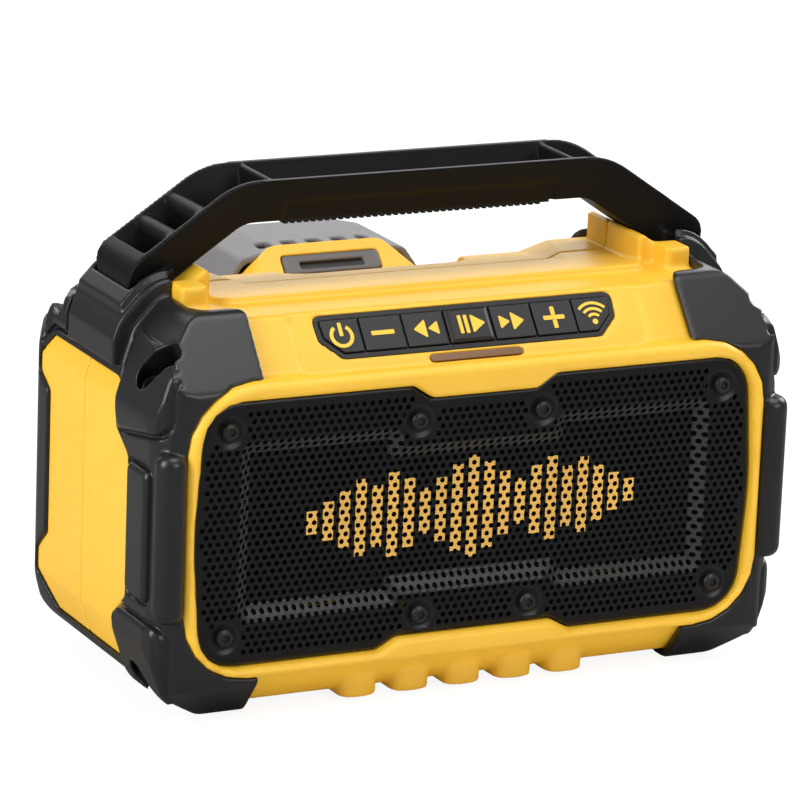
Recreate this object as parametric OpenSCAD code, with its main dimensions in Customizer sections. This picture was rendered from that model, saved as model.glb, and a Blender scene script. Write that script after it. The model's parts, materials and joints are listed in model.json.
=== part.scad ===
// Cordless jobsite speaker: two drivers behind a steel grille, corner bumpers, a fixed
// carrying handle, a row of keys on the front slope and a battery pack that slides onto the rear.
// Millimetres. X runs to the right, Y to the rear, Z up. The sketches below measure Y from the
// rim of the grille; place() then puts the origin under the middle of the whole object.

/* [Body] */
// Width over the plain sides of the bumpers
body_w = 262; // [254:1:280]
// Depth over the bumpers
body_d = 126.5; // [120:0.5:140]
// Height of the deck at the bumpers
body_h = 152.5; // [150:0.5:162]
// Angle of the control slope from level
slope_a = 50; // [47:1:53]
// Height of the control slope
slope_drop = 25.2; // [24:0.2:28]
// Height and length of the slope at the top of the rear
rear_drop = 26; // [20:1:30]
// Height of the slope under the front and the rear
foot_rise = 15; // [12:0.5:17]
// Length of the slope under the front and the rear
foot_run = 12.5; // [9:0.5:15]
// Wall of the two housings
wall = 3; // [2.4:0.1:3.4]
// Place of the parting line between the housings, from the grille's rim
split_y = 76; // [72:1:80]
// Clearance between fixed pieces
seat_gap = 0.1; // [0.05:0.05:0.2]
// Clearance round moving pieces
run_gap = 0.35; // [0.3:0.05:0.5]

/* [Bumpers] */
// Thickness of a bumper over the housing
bumper_t = 3.5; // [3:0.1:4.5]
// How far the bumper's face stands in front of the grille's rim
bumper_proud = 2.5; // [2:0.1:3.5]
// How far the wear pads stand out of the bumper
pad_t = 1.5; // [1:0.1:2.5]
// Distance of the corner patches from the middle
patch_x = 90; // [86:1:95]
// Distance of the bumper's edge on the deck from the middle
cap_x = 107.8; // [107:0.1:111]
// Length of a corner patch from front to back
patch_d = 27; // [24:1:32]
// Radius of the rail at a front corner
rail_r = 6; // [5.5:0.1:7]
// Length of the rail
rail_h = 65; // [55:1:72]
// Half the width of the screw pits at the corners
pit_r = 5.2; // [4.6:0.1:5.6]
// Depth at which a bumper screw seats

/* [Grille] */
// Height of the grille's lower edge over the floor
grille_low = 22; // [20.5:0.5:23.5]
// Width of the grille
grille_w = 234.4; // [228:0.2:238]
// How much lower the grille is than the body
grille_less = 51.5; // [49.5:0.5:56]
// Sheet thickness of the grille
sheet_t = 1.2; // [0.8:0.1:1.6]
// Depth of the recessed centre plate
recess_d = 5; // [3.5:0.1:5.6]
// Pitch of the holes
hole_pitch = 5.5; // [5:0.1:7]
// Diameter of the holes
hole_d = 3.4; // [2:0.1:3.8]
// Width of the bezel at the sides of the grille
bezel_side = 3.8; // [3:0.1:4.5]
// Height of the bezel over the grille
bezel_top = 7.5; // [6:0.1:9]
// Height of the bezel below the grille
bezel_base = 5; // [4:0.1:6]
// How far the bezel stands in front of the grille's rim
bezel_proud = 4; // [3:0.1:5]

/* [Keypad] */
// Width of the keypad at its top edge
keypad_w = 126.2; // [122:0.2:130]
// Height of the keypad along the slope
keypad_h = 18.2; // [17:0.2:19]
// Width of the middle key
mid_key_w = 18; // [16:0.1:19]
// Width of an inner side key
side_key_w = 16.4; // [15:0.1:17]
// Gap between two keys
key_gap = 1.2; // [1:0.1:1.6]
// Travel of a key
key_travel = 0.8; // [0.5:0.1:1]
// Width of the status lens
lens_w = 38.8; // [30:0.2:42]

/* [Handle] */
// Height of the top of the handle
handle_top = 192; // [188:1:198]
// Depth of the handle's section, from its underside to its rims
handle_h = 17.5; // [15:0.5:20]
// Width of the handle over its rims
handle_w = 35; // [31:0.5:38]
// Width of the handle at its underside
handle_base_w = 22; // [18:0.5:26]
// Place of the handle's middle, from the grille's rim
handle_y = 70; // [68:0.5:73]
// Distance of the bend's centre from the middle
bend_x = 68.7; // [66:0.1:71]
// Angle of the slanted legs from level
bend_a = 34; // [32:1:36]
// Inner radius of the bend
bend_r = 14; // [12:1:16]
// Distance of the handle's outer foot face from the middle
foot_x = 122; // [119:0.5:123]

/* [Drivers] */
// Distance of each driver from the middle
driver_x = 60; // [56:1:64]
// Distance of a driver's screws from the edge of the grille
driver_margin = 12; // [10.5:0.5:13.5]
// Depth of a driver
driver_d = 39; // [36:1:44]
// Travel of a cone, each way
cone_travel = 1.5; // [0.5:0.1:2]

/* [Battery pack] */
// Width of the pack's base
pack_w = 88; // [82:1:94]
// Length of the pack
pack_l = 130; // [124:1:134]
// Depth of the pack's base
pack_d = 43; // [43:1:50]
// Height of the pack's lower end over the floor
pack_z = 11; // [8:1:14]
// Width of the pack's rail shell
shell_w = 75; // [70:1:80]
// Depth of the pack's rail shell
shell_d = 12.5; // [12:0.5:15]
// Width of the release button
button_w = 42; // [34:1:46]
// Travel of the release button
button_travel = 2; // [1:0.1:2.2]

/* [Hidden] */

$fn = 48;
yellow = "gold";
satin = "dimgray";
black = "#202021";
grey = "slategray";
steel = "silver";
board_green = "darkgreen";

// A length that carries a cut clear of the body
past = 9;

// Outer faces of the body
front_y = -bumper_proud;
rear_y = front_y + body_d;
half_w = body_w / 2;
slope_run = slope_drop / tan(slope_a);
deck_z = body_h - bumper_t;
shell_front = front_y + bumper_t;
shell_rear = rear_y - bumper_t;

// Corners of the end view, from the floor to the deck: how far in from the side, and how far up
foot_in = 22;
knee_in = 6;
knee_rise = 10;
side_rise = 28;
side_drop = 36.5;
brow_in = 8;
brow_drop = 11.5;
deck_in = 19;
corner_r = 13;
rear_corner_r = 7;

// Grille, bezel and baffle
grille_h = body_h - grille_less;
grille_z = grille_low + grille_h / 2;
baffle_y = 8.5;
baffle_t = 3.5;
cavity_y = baffle_y + baffle_t;
trim_t = 1.4;
grille_fit = 0.8;
grille_bow = 3.8;
grille_r = 15;
top_notch_x = 22.2;
top_step = 5.2;
low_notch_x = 33;
low_step = 4.5;
notch_run = 8;
flange_d = 4;
bezel_r = 26;
bezel_lip = 2;
bezel_half_w = grille_w / 2 + bezel_side;
bezel_z0 = grille_z - grille_h / 2 - bezel_base;
bezel_z1 = grille_z + grille_h / 2 + bezel_top;
recess_half_w = grille_w / 2 - 18.7;
recess_z0 = grille_z - grille_h / 2 + 16.3;
recess_z1 = grille_z + grille_h / 2 - 15.7;
recess_slant = 5;
recess_step_x = 32;
recess_mid_x = recess_step_x + 2 * recess_slant + 2;
recess_mid_drop = 7.5;
recess_mid_rise = 4.5;
hole_margin = 4;
screw_clear = 7;
grille_screw_r = 1.5;
grille_screw_l = 9;
grille_head_r = 3;
grille_head_t = 1.6;
grille_boss_r = 4.6;
screw_outer_x = grille_w / 2 - 13.8;
screw_rise = grille_h / 2 - 10.9;
screw_top_x = 26;
screw_top_in = 13.6;
screw_low_x = 23;
screw_low_in = 11.5;
grille_screw_places = [
  for (s = [-1, 1]) for (p = [
    [screw_outer_x, grille_z + screw_rise], [screw_outer_x, grille_z - screw_rise],
    [screw_top_x, grille_z + grille_h / 2 - screw_top_in],
    [screw_low_x, grille_z - grille_h / 2 + screw_low_in]
  ]) [s * p[0], p[1]]
];

// Keypad, in its own plane: along the slope and out of it
keypad_y = 7.9;
panel_w = 148;
panel_sink = 0.8;
panel_low = 6.4;
base_sink = panel_sink + 0.5;
base_t = 3;
base_back = base_sink + base_t;
key_rise = 0.2;
play_rise = 1;
key_inset = 2.4;
flange_out = 0.6;
flange_t = 0.8;
flange_gap = 0.3;
ledge = 1.3;
board_t = 1.6;
board_sink = base_back + 4.2;
board_margin = 4;
lens_h = 2.8;
lens_drop = 3;
switch_w = 6;
flange_back = base_back + flange_gap + flange_t;
switch_sink = flange_back + key_travel + run_gap;
inner_x = mid_key_w / 2 + key_gap;
key_pitch = side_key_w + key_gap;
key_spans = [
  [-keypad_w, -inner_x - 2 * key_pitch], [-inner_x - 2 * key_pitch + key_gap, -inner_x - key_pitch],
  [-inner_x - key_pitch + key_gap, -inner_x], [-mid_key_w / 2, mid_key_w / 2],
  [inner_x, inner_x + key_pitch - key_gap], [inner_x + key_pitch, inner_x + 2 * key_pitch - key_gap],
  [inner_x + 2 * key_pitch, keypad_w]
];
switch_places = [for (i = [-3:3]) i * key_pitch];

// Ramp on the deck: a lip in front, a floor that falls to the rear between slanted sides
ramp_y = 40;
ramp_l = 40;
ramp_half = 92;
ramp_lip = 2.6;
ramp_fall = 7.6;
scoop_half = 66;
scoop_flare = 18;
scoop_h = 8;
finger_half = 40;
finger_y = rear_y - 36;
finger_z = body_h - 27;
finger_r = 12;

// Ears on the deck, in front of and under the handle's legs
ear_x = 97;
ear_y = 37;
ear_d = 13;
ear_h = 8.5;
wedge_x = 91;

// Handle
handle_z = handle_top - handle_h;
bend_z = handle_z - bend_r;
rim_t = 3.4;
channel_floor = 5;
web_t = 7.5;
web_drop = 0.2;
web_places = [8.5, 22.5];
bar_rib_x = 64;
bar_rib_t = 3;
end_block = 20;
leg_end_r = 10;
foot_bottom = deck_z;
foot_inner_x = 104;
leg_x0 = bend_x + bend_r * sin(bend_a);
leg_z0 = bend_z + bend_r * cos(bend_a);
leg_l = (foot_x - leg_x0) / cos(bend_a);
grip_half = 58;
grip_t = 1.7;
grip_pitch = 2.9;
grip_sink = 1.8;
grip_h = 9;
handle_screw_r = 2;
handle_screw_x = foot_inner_x + 3.4;
handle_screw_dy = 10;
handle_screw_l = 10;
handle_head_r = 3.4;
handle_head_t = 2.4;

// Collar, pads and rails of the bumpers
collar_t = 6.5;
collar_step = 2.5;
collar_margin = 6;
collar_low = 25;
rail_cap = 4.5;
pad_high = body_h - 47;
pad_low = 38;
pad_edge = 5;
pad_run = 37.5;
pad_rear_run = 27;
pad_reach = 8;
pad_bevel = 1.5;
pad_groove = 1.8;
pad_groove_d = 1.8;

// Long screw pits at the corners of the bumpers, whose axes lean out of the sides and the ends
// Their places in front and behind, each the upper one and the lower one: in from the side and the end, and z
pit_places = [
  [[5, 20, body_h - 16.5], [6, 20.5, 9]],
  [[6, 10, body_h - 14.5], [16, 9, 3.5]]
];
pit_lean = 30;
pit_turn = 35;
pit_roll = 15;
pit_halves = [5, 0.5];
pit_deep = 16;
pit_floor = 2.5;
pit_wall = 1.5;
pit_boss_r = pit_r + pit_wall + 2;
bumper_screw_r = 1.8;
bumper_screw_l = 12;
bumper_head_r = 3.6;
bumper_head_t = 3;
pit_boss_l = pit_deep + bumper_screw_l + 2;

// Housing screws and their bosses
housing_side = 19;
housing_low_z = 44;
housing_high_drop = 46;
housing_mid_x = 30;
housing_mid_z = 22;
housing_screw_places = [
  for (s = [-1, 1]) for (p = [
    [half_w - housing_side, housing_low_z], [half_w - housing_side, body_h - housing_high_drop],
    [housing_mid_x, housing_mid_z]
  ]) [s * p[0], p[1]]
];
housing_screw_r = 1.8;
housing_boss_r = 5;
housing_screw_l = 30;
housing_head_r = 3.5;
housing_head_t = 2.6;
housing_seat_y = split_y + 16;
seal_in = 0.9;
seal_w = 1.2;
seal_t = 1.4;

// Skids under the front edge
skid_w = 16;
skid_pitch = 22;
skid_d = 17;
skid_drop = 2.2;

// Drivers, measured back from the baffle
gasket_t = 1;
driver_y = cavity_y + gasket_t;
driver_r = grille_h / 2 - driver_margin;
cone_r = driver_r - 12.4;
surround_r = 3.5;
surround_t = 0.8;
surround_foot = 1;
surround_mid = cone_r + 0.4 + surround_r;
seat_r = surround_mid + surround_r + seat_gap;
frame_t = 2.2;
basket_t = 1.6;
basket_d = driver_d - 14;
basket_r = 22;
coil_r = 10.5;
cone_t = 0.8;
cone_d = basket_d - 9;
magnet_r = 23;
pole_r = 8.8;
magnet_bore = 11.6;
magnet_back = 3;
coil_gap = 6.5;
coil_end = driver_d - magnet_back - coil_gap - cone_travel;
driver_screw_r = 1.5;
driver_head_r = 2.6;
driver_head_t = 1.8;
driver_ear = 3.6;
driver_places = [for (a = [45:90:315]) (driver_r + 0.4) * [cos(a), sin(a)]];

// Boards inside the rear
board_y = shell_rear - wall - 11;
board_half = 50;
board_z0 = 34;
board_h = 60;
sink_x = 44;
sink_w = 40;
sink_h = 28;
sink_d = 14;
sink_base = 3;
sink_rise = 26;
fins = 7;
fin_t = 2.4;
module_x = 18;
module_w = 22;
module_h = 26;
module_t = 2.4;
module_board = 0.8;
module_edge = 2;
module_rise = 30;
can_x = 12;
can_pitch = 14;
can_r = 5;
can_h = 15;
can_rise = 14;
standoff_r = 3;
standoff_in = 5;
standoff_places = [
  for (x = [standoff_in - board_half, board_half - standoff_in])
    for (z = [standoff_in, board_h - standoff_in]) [x, board_z0 + z]
];

// Rails and battery pack
rail_out = 33;
rail_neck = 23.4;
rail_lip = 27.4;
rail_face = shell_rear + 8.2;
rail_hook = 3.4;
rail_z0 = 24;
rail_z1 = 112;
pack_y = rail_face + run_gap;
base_y = pack_y + shell_d;
pack_rear = base_y + pack_d;
pack_top = pack_z + pack_l;
block_half = 18;
block_z0 = 26;
block_z1 = 44;
block_d = 4.5;
blade_places = [-12, -4, 4, 12];
blade_t = 0.8;
blade_h = 16;
slot_w = 4.4;
contact_t = 0.5;
tee_z0 = block_z1 + 1.4;
tee_z1 = 116;
cell_r = 9.1;
cell_l = 65;
cell_pitch = 19;
cell_end = 17.5;
cell_rows = floor((pack_l - 2 * cell_end) / cell_pitch);
cell_z0 = pack_z + (pack_l - (cell_rows - 1) * cell_pitch) / 2;
pack_wall = 2.6;
pack_screw_r = 1.6;
pack_boss_r = 3.4;
pack_screw_l = 12;
pack_screw_places = [
  for (s = [-1, 1]) for (z = [pack_z + 7.5, pack_top - 11]) [s * (shell_w / 2 - 7.5), z]
];
shell_rise = 2;
chamfer_drop = 10;
button_a = atan2(shell_rise + chamfer_drop, shell_d - 1);
button_t = 3.4;
button_low = 3;
button_h = 8.5;
vent_pitch = 11;
vent_w = 6;
rib_pitch = 15;

// Sockets on the rear and their cover
cover_side = 49;
cover_x = cover_side - half_w;
cover_z = 50;
cover_w = 40;
cover_h = 24;
cover_t = 2.4;
bead_r = 1.3;
bead_end = 2;
bead_y = shell_rear - 2.2;
bead_z = cover_z + cover_h / 2 - bead_r - run_gap;
hinge_h = 3;
well_d = 4;
well_in = 4;
socket_d = 12;
socket_block = 16;
aux_x = cover_x - 9;
aux_r = 4;
aux_bore = 1.8;
power_x = cover_x + 8;
power_r = 5.5;
power_bore = 3.2;

// Whole object, from the rails in front to the pack behind
rail_x = half_w + pad_t - rail_r;
rail_y = rail_r - bezel_proud - 1;
object_front = rail_y - rail_r;
middle_y = (object_front + pack_rear) / 2;

// Outlines are lists of [a, b, fillet radius], counter-clockwise

function unit(v) = v / norm(v);
function xy(p) = [p[0], p[1]];
function left_of(a, b) = let (u = unit(xy(b) - xy(a))) [-u[1], u[0]];

// One corner rounded by its own radius, as far as its two sides allow
function corner(a, b, c, r, n) = let (
  u = unit(a - b),
  v = unit(c - b),
  half = acos(max(-1, min(1, u * v))) / 2,
  t = min(r / tan(half), 0.48 * min(norm(a - b), norm(c - b))),
  q = t * tan(half),
  m = b + unit(u + v) * q / sin(half),
  s = b + u * t - m,
  a0 = atan2(s[1], s[0]),
  turn = (cross(u, v) < 0 ? 1 : -1) * (180 - 2 * half)
) [for (i = [0:n]) m + q * [cos(a0 + turn * i / n), sin(a0 + turn * i / n)]];

function rounded(p, n = 4) = let (k = len(p)) [
  for (i = [0:k - 1]) each (p[i][2] > 0 ?
    corner(xy(p[(i + k - 1) % k]), xy(p[i]), xy(p[(i + 1) % k]), p[i][2], n) : [xy(p[i])])
];

// The outline moved inwards by d, or outwards if d is negative
function inset(p, d) = let (k = len(p)) [
  for (i = [0:k - 1]) let (
    n1 = left_of(p[(i + k - 1) % k], p[i]),
    n2 = left_of(p[i], p[(i + 1) % k]),
    q = xy(p[i]) + (n1 + n2) * d / (1 + n1 * n2)
  ) [q[0], q[1], p[i][2] > 0 ? max(p[i][2] - d, 0.5) : 0]
];

// A right half, from bottom to top, made whole by its mirror image
function both_halves(p) = concat(p, [for (i = [len(p) - 1:-1:0]) [-p[i][0], p[i][1], p[i][2]]]);

function box_outline(x0, z0, x1, z1, r) = [[x0, z0, r], [x1, z0, r], [x1, z1, r], [x0, z1, r]];

function side_view() = [
  [front_y + foot_run, 0, 5], [rear_y - foot_run, 0, 5], [rear_y, foot_rise, 6],
  [rear_y, body_h - rear_drop, 8], [rear_y - rear_drop, body_h, 8], [front_y + slope_run, body_h, 5],
  [front_y, body_h - slope_drop, 4], [front_y, foot_rise, 4]
];

function end_view() = both_halves([
  [half_w - foot_in, 0, 12], [half_w - knee_in, knee_rise, 14],
  [half_w, side_rise, 14], [half_w, body_h - side_drop, 16],
  [half_w - brow_in, body_h - brow_drop, 14], [half_w - deck_in, body_h, 10]
]);

// The end view at the parting line, where the ramp dips below the deck
function parting_view() = let (
  p = inset(end_view(), bumper_t),
  z = deck_z + ramp_lip - (split_y - ramp_y) * tan(ramp_fall)
) both_halves(concat([for (i = [0:5]) p[i]],
  [[scoop_half + scoop_flare * (deck_z - z) / scoop_h, deck_z, 0], [scoop_half, z, 0]]));

function top_view() = [
  [-half_w, front_y, corner_r], [half_w, front_y, corner_r],
  [half_w, rear_y, rear_corner_r], [-half_w, rear_y, rear_corner_r]
];

function bezel_outline() = box_outline(-bezel_half_w, bezel_z0, bezel_half_w, bezel_z1, bezel_r);

function grille_outline() = let (z0 = grille_z - grille_h / 2, z1 = grille_z + grille_h / 2)
  both_halves([
    [low_notch_x, z0 + low_step, 2], [low_notch_x + notch_run, z0, 3],
    [grille_w / 2 - grille_bow, z0, grille_r], [grille_w / 2, grille_z, 150],
    [grille_w / 2 - grille_bow, z1, grille_r], [top_notch_x + notch_run, z1, 3],
    [top_notch_x, z1 - top_step, 2]
  ]);

function keypad_outline() = both_halves([
  [keypad_w / 2 - 8.8, 0, 1.5], [keypad_w / 2 - 1, keypad_h * 0.42, 2], [keypad_w / 2, keypad_h, 3]
]);

// The window in the bumper through which the side of the housing shows
function side_window() = let (
  low = 14, high = body_h - 29, rear_low = rear_y - 18, rear_in = rear_y - 15, rear_out = rear_y - 5,
  front_in = 43, front_out = 31
) [
  [front_in, low, 4], [rear_low, low, 4], [rear_out, low + 14, 3], [rear_out, low + 22, 3],
  [rear_in, low + 31, 3], [rear_in, high - 22, 3], [rear_out, high - 16, 3],
  [rear_out, high - 10, 4], [rear_low + 4, high, 5], [front_in + 1, high, 5],
  [front_in, high - 18, 4], [front_out, high - 26, 3], [front_out, low + 29, 3],
  [front_in, low + 19, 4]
];

function slope_z(y) = body_h - slope_drop - bumper_t * cos(slope_a)
  + (y - front_y - bumper_t * sin(slope_a)) * tan(slope_a);

function leg_underside(x) = leg_z0 - (x - leg_x0) * tan(bend_a);

function foot_outline() = [
  [foot_inner_x, foot_bottom - 3], [foot_x + 3, foot_bottom - 3], [foot_x + 3, leg_underside(foot_x) + 8],
  [foot_inner_x, leg_underside(foot_inner_x) + 8]
];

// A sketch of Y and Z drawn out along X, and one of X and Z drawn out along Y
module along_x(w) rotate([90, 0, 90]) linear_extrude(w, center = true) children();

module along_y(y0, y1)
  translate([0, y1, 0]) rotate([90, 0, 0]) linear_extrude(y1 - y0) children();

// A revolve or rod whose Z axis is turned to the rear
module facing_rear(x, y, z) translate([x, y, z]) rotate([-90, 0, 0]) children();

// The plane of the control slope: X across, Y up the slope, Z out of it
module on_slope()
  translate([0, keypad_y, slope_z(keypad_y)]) rotate([slope_a, 0, 0]) children();

// The plane of the pack's release button
module on_chamfer()
  translate([0, pack_y, pack_top - chamfer_drop]) rotate([button_a, 0, 0]) children();

// The falling plane of the ramp on the deck
module on_ramp()
  translate([0, ramp_y, deck_z + ramp_lip]) rotate([-ramp_fall, 0, 0]) children();

module mirrored() {
  children();
  mirror([1, 0, 0]) children();
}

module place() translate([0, -middle_y, 0]) children();

// A screw along +Y with a round head, seated at the origin, and its tip to the front or the rear
module screw(r, l, head_r, head_t, tip) facing_rear(0, 0, 0) {
  translate([0, 0, tip > 0 ? 0 : -l]) cylinder(r = r, h = l);
  translate([0, 0, tip > 0 ? -head_t : 0]) difference() {
    cylinder(r = head_r, h = head_t);
    translate([0, 0, tip > 0 ? -1 : head_t - 1]) cylinder(r = head_r * 0.55, h = 2, $fn = 6);
  }
}

// Housings

// The body's outer form, moved inwards by d
module envelope(d) intersection() {
  along_x(body_w + 2 * past) polygon(rounded(inset(side_view(), d)));
  along_y(front_y - past, rear_y + past) polygon(rounded(inset(end_view(), d)));
  translate([0, 0, -past]) linear_extrude(body_h + 2 * past) polygon(rounded(inset(top_view(), d)));
}

module ramp_lip() intersection() {
  linear_extrude(body_h + past)
    polygon(rounded(box_outline(-ramp_half, ramp_y, ramp_half, ramp_y + ramp_l, 9)));
  on_ramp() translate([-half_w, -past, -4]) cube([body_w, body_d, 4]);
}

// The scoop over the ramp's floor, grown by g
module ramp_scoop(g) on_ramp() along_y(4, body_d) polygon([
  [-scoop_half - g, -g], [scoop_half + g, -g],
  [scoop_half + scoop_flare + g, scoop_h], [-scoop_half - scoop_flare - g, scoop_h]
]);

// Room for a finger in front of the pack's release button, grown by g
module finger_room(g) translate([0, 0, finger_z - g]) linear_extrude(body_h)
  polygon(rounded(box_outline(-finger_half - g, finger_y - g, finger_half + g, rear_y + 2 * past, finger_r)));

module ear() {
  translate([ear_x, ear_y, deck_z - 2]) linear_extrude(ear_h + 2)
    polygon(rounded(box_outline(0, 0, cap_x - seat_gap - ear_x, ear_d, 2)));
  along_y(ear_y + ear_d - 1, handle_y + handle_w / 2 + 4) polygon([
    [wedge_x, deck_z - 2], [foot_inner_x - seat_gap, deck_z - 2],
    [foot_inner_x - seat_gap, leg_underside(foot_inner_x) - run_gap],
    [wedge_x + 2, leg_underside(wedge_x + 2) - run_gap], [wedge_x, leg_underside(wedge_x + 4)]
  ]);
}

// The axes of the pits of the sides and ends given: 0 for right and front, 1 for left and rear
module at_pits(sides, ends) for (side = sides) for (end = ends) for (low = [0, 1])
  let (p = pit_places[end][low]) mirror([side, 0, 0])
    translate([half_w - p[0], end > 0 ? rear_y - p[1] : front_y + p[1], p[2]])
    mirror([0, end, 0]) mirror([0, 0, low])
      rotate([pit_turn, 0, 0]) rotate([0, pit_lean, 0]) rotate([0, 0, pit_roll]) children();

// The forms of all pits of the sides given, with half their width, from one depth to another
module pit_forms(sides, r, z0, z1) for (end = [0, 1]) at_pits(sides, [end])
  translate([0, 0, z0]) linear_extrude(z1 - z0)
    polygon(rounded(box_outline(-pit_halves[end] - r, -r, pit_halves[end] + r, r, r), 6));

module pit_holes(sides, z0, z1) at_pits(sides, [0, 1])
  translate([0, 0, z0]) cylinder(r = bumper_screw_r + seat_gap, h = z1 - z0);

// Bosses in the housings under the pits, and the room for the bumper's cups and their screws
module pit_bosses() intersection() {
  envelope(bumper_t);
  pit_forms([0, 1], pit_boss_r, -pit_boss_l, past);
}

module pit_room() {
  pit_forms([0, 1], pit_r + pit_wall + seat_gap, -pit_deep - pit_floor - seat_gap, 2 * past);
  pit_holes([0, 1], -pit_deep - bumper_screw_l - seat_gap, -pit_deep);
}

// The bumper's own cup round each pit, and the pit with the hole of its screw
module pit_cups() intersection() {
  envelope(bumper_t / 2);
  pit_forms([0], pit_r + pit_wall, -pit_deep - pit_floor, past);
}

module pits() {
  pit_forms([0], pit_r, -pit_deep, 2 * past);
  pit_holes([0], -pit_deep - pit_floor - 1, 1 - pit_deep);
}

// The side of the housing that fills the bumper's window
module side_boss() intersection() {
  envelope(1.3);
  union() for (s = [-1, 1]) translate([s * half_w, 0, 0]) along_x(30)
    polygon(rounded(inset(side_window(), seat_gap)));
}

module housing_bosses() for (p = housing_screw_places)
  facing_rear(p[0], cavity_y - 1, p[1]) cylinder(r = housing_boss_r, h = shell_rear - cavity_y);

module housing_bores() for (p = housing_screw_places) {
  facing_rear(p[0], housing_seat_y, p[1]) cylinder(r = housing_head_r + 0.6, h = body_d);
  facing_rear(p[0], housing_seat_y - housing_screw_l - 0.5, p[1])
    cylinder(r = housing_screw_r + seat_gap, h = housing_screw_l + 1);
}

module handle_sockets() mirrored() {
  translate([foot_inner_x - seat_gap, handle_y - handle_w / 2 - seat_gap, foot_bottom])
    cube([foot_x - foot_inner_x + 2 * seat_gap, handle_w + 2 * seat_gap, handle_top]);
  for (s = [-1, 1]) translate([handle_screw_x, handle_y + s * handle_screw_dy, 0]) {
    translate([0, 0, deck_z - wall - 1]) cylinder(r = handle_screw_r + seat_gap, h = wall + 2);
    translate([0, 0, deck_z - wall - past]) cylinder(r = handle_head_r + 0.3, h = past);
  }
}

// The hollow inside, which leaves the walls of everything that is sunk into the body
module cavity() difference() {
  envelope(bumper_t + wall);
  translate([-body_w, front_y - past, -past])
    cube([2 * body_w, cavity_y - front_y + past, body_h + 2 * past]);
  on_slope() translate([-keypad_w / 2 - board_margin, -board_margin - lens_drop, -board_sink])
    cube([keypad_w + 2 * board_margin, keypad_h + 2 * board_margin + lens_drop, 2 * past]);
  ramp_scoop(wall);
  finger_room(wall);
  translate([cover_x - cover_w / 2 - wall, shell_rear - socket_block, cover_z - cover_h / 2 - wall])
    cube([cover_w + 2 * wall, socket_block + past, cover_h + 2 * wall]);
}

// Both housings as one body, before they are parted
module housing_body() difference() {
  union() {
    difference() {
      union() {
        envelope(bumper_t);
        side_boss();
      }
      cavity();
    }
    ramp_lip();
    mirrored() ear();
    pit_bosses();
    housing_bosses();
  }
  ramp_scoop(0);
  finger_room(0);
  pit_room();
  housing_bores();
  handle_sockets();
}

module seal_ring(g) along_y(split_y - seal_t - g, split_y) difference() {
  polygon(rounded(inset(parting_view(), seal_in - g)));
  polygon(rounded(inset(parting_view(), seal_in + seal_w + g)));
}

module skids() for (i = [-2:2])
  translate([i * skid_pitch - skid_w / 2, shell_front + 4, bumper_t - skid_drop])
    linear_extrude(foot_rise - 4) polygon(rounded(box_outline(0, 0, skid_w, skid_d, 5)));

module bezel() hull() {
  along_y(-bezel_proud, -bezel_proud + 0.1) polygon(rounded(inset(bezel_outline(), bezel_lip), 5));
  along_y(-bezel_proud + bezel_lip, cavity_y) polygon(rounded(bezel_outline(), 5));
}

// Room for the keypad, its keys and its lens
module keypad_space() on_slope() {
  translate([0, 0, -base_back]) linear_extrude(2 * past)
    polygon(rounded(inset(keypad_outline(), -seat_gap)));
  translate([0, 0, -board_sink - 1]) linear_extrude(2 * past)
    polygon(rounded(inset(keypad_outline(), ledge)));
  translate([0, 0, -board_sink - 1]) linear_extrude(2 * past)
    lens_outline(seat_gap);
}

// Room for the key board, which seats from behind
module board_room() on_slope()
  translate([-keypad_w / 2 - board_margin, -board_margin - lens_drop, -board_sink - board_t - 4])
    cube([keypad_w + 2 * board_margin, keypad_h + 2 * board_margin + lens_drop, board_t + 4]);

module lens_outline(g) translate([0, -lens_drop])
  polygon(rounded(box_outline(-lens_w / 2 - g, -lens_h / 2 - g, lens_w / 2 + g, lens_h / 2 + g, 1.2)));

module grille_bosses() for (p = grille_screw_places)
  facing_rear(p[0], sheet_t, p[1]) cylinder(r = grille_boss_r, h = baffle_y - sheet_t + 1);

module front_housing() color(yellow) difference() {
  union() {
    difference() {
      union() {
        intersection() {
          housing_body();
          translate([-body_w, front_y - past, -past])
            cube([2 * body_w, split_y - front_y + past, 2 * body_h]);
        }
        bezel();
        skids();
      }
      along_y(-bezel_proud - 1, baffle_y) polygon(rounded(inset(grille_outline(), -grille_fit)));
      along_y(-bezel_proud - 1, -bezel_proud + 1.6)
        polygon(rounded(inset(grille_outline(), -grille_fit - 1.4)));
    }
    grille_bosses();
  }
  on_slope() translate([0, 0, -panel_sink]) linear_extrude(2 * past)
    polygon(rounded(box_outline(-panel_w / 2, -panel_low, panel_w / 2, keypad_h + 1.6, 5)));
  keypad_space();
  board_room();
  for (s = [-1, 1]) facing_rear(s * driver_x, baffle_y - 1, grille_z)
    cylinder(r = seat_r, h = baffle_t + 2);
  for (p = grille_screw_places) facing_rear(p[0], -1, p[1])
    cylinder(r = grille_screw_r + seat_gap, h = grille_screw_l + 1.5);
  for (s = [-1, 1]) for (p = driver_places) facing_rear(s * driver_x + p[0], baffle_y + 1, grille_z + p[1])
    cylinder(r = driver_screw_r + seat_gap, h = baffle_t);
  seal_ring(seat_gap / 2);
}

module rails() mirrored() translate([0, 0, rail_z0]) linear_extrude(rail_z1 - rail_z0) polygon([
  [rail_lip, shell_rear - 1], [rail_out, shell_rear - 1], [rail_out, rail_face],
  [rail_neck, rail_face], [rail_neck, rail_face - rail_hook], [rail_lip, rail_face - rail_hook]
]);

module standoffs() for (p = standoff_places)
  facing_rear(p[0], board_y + board_t, p[1])
    cylinder(r = standoff_r, h = shell_rear - wall - board_y - board_t + 1);

module rear_housing() color(yellow) difference() {
  union() {
    intersection() {
      housing_body();
      translate([-body_w, split_y, -past]) cube([2 * body_w, body_d, 2 * body_h]);
    }
    rails();
    standoffs();
  }
  socket_space();
}

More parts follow.
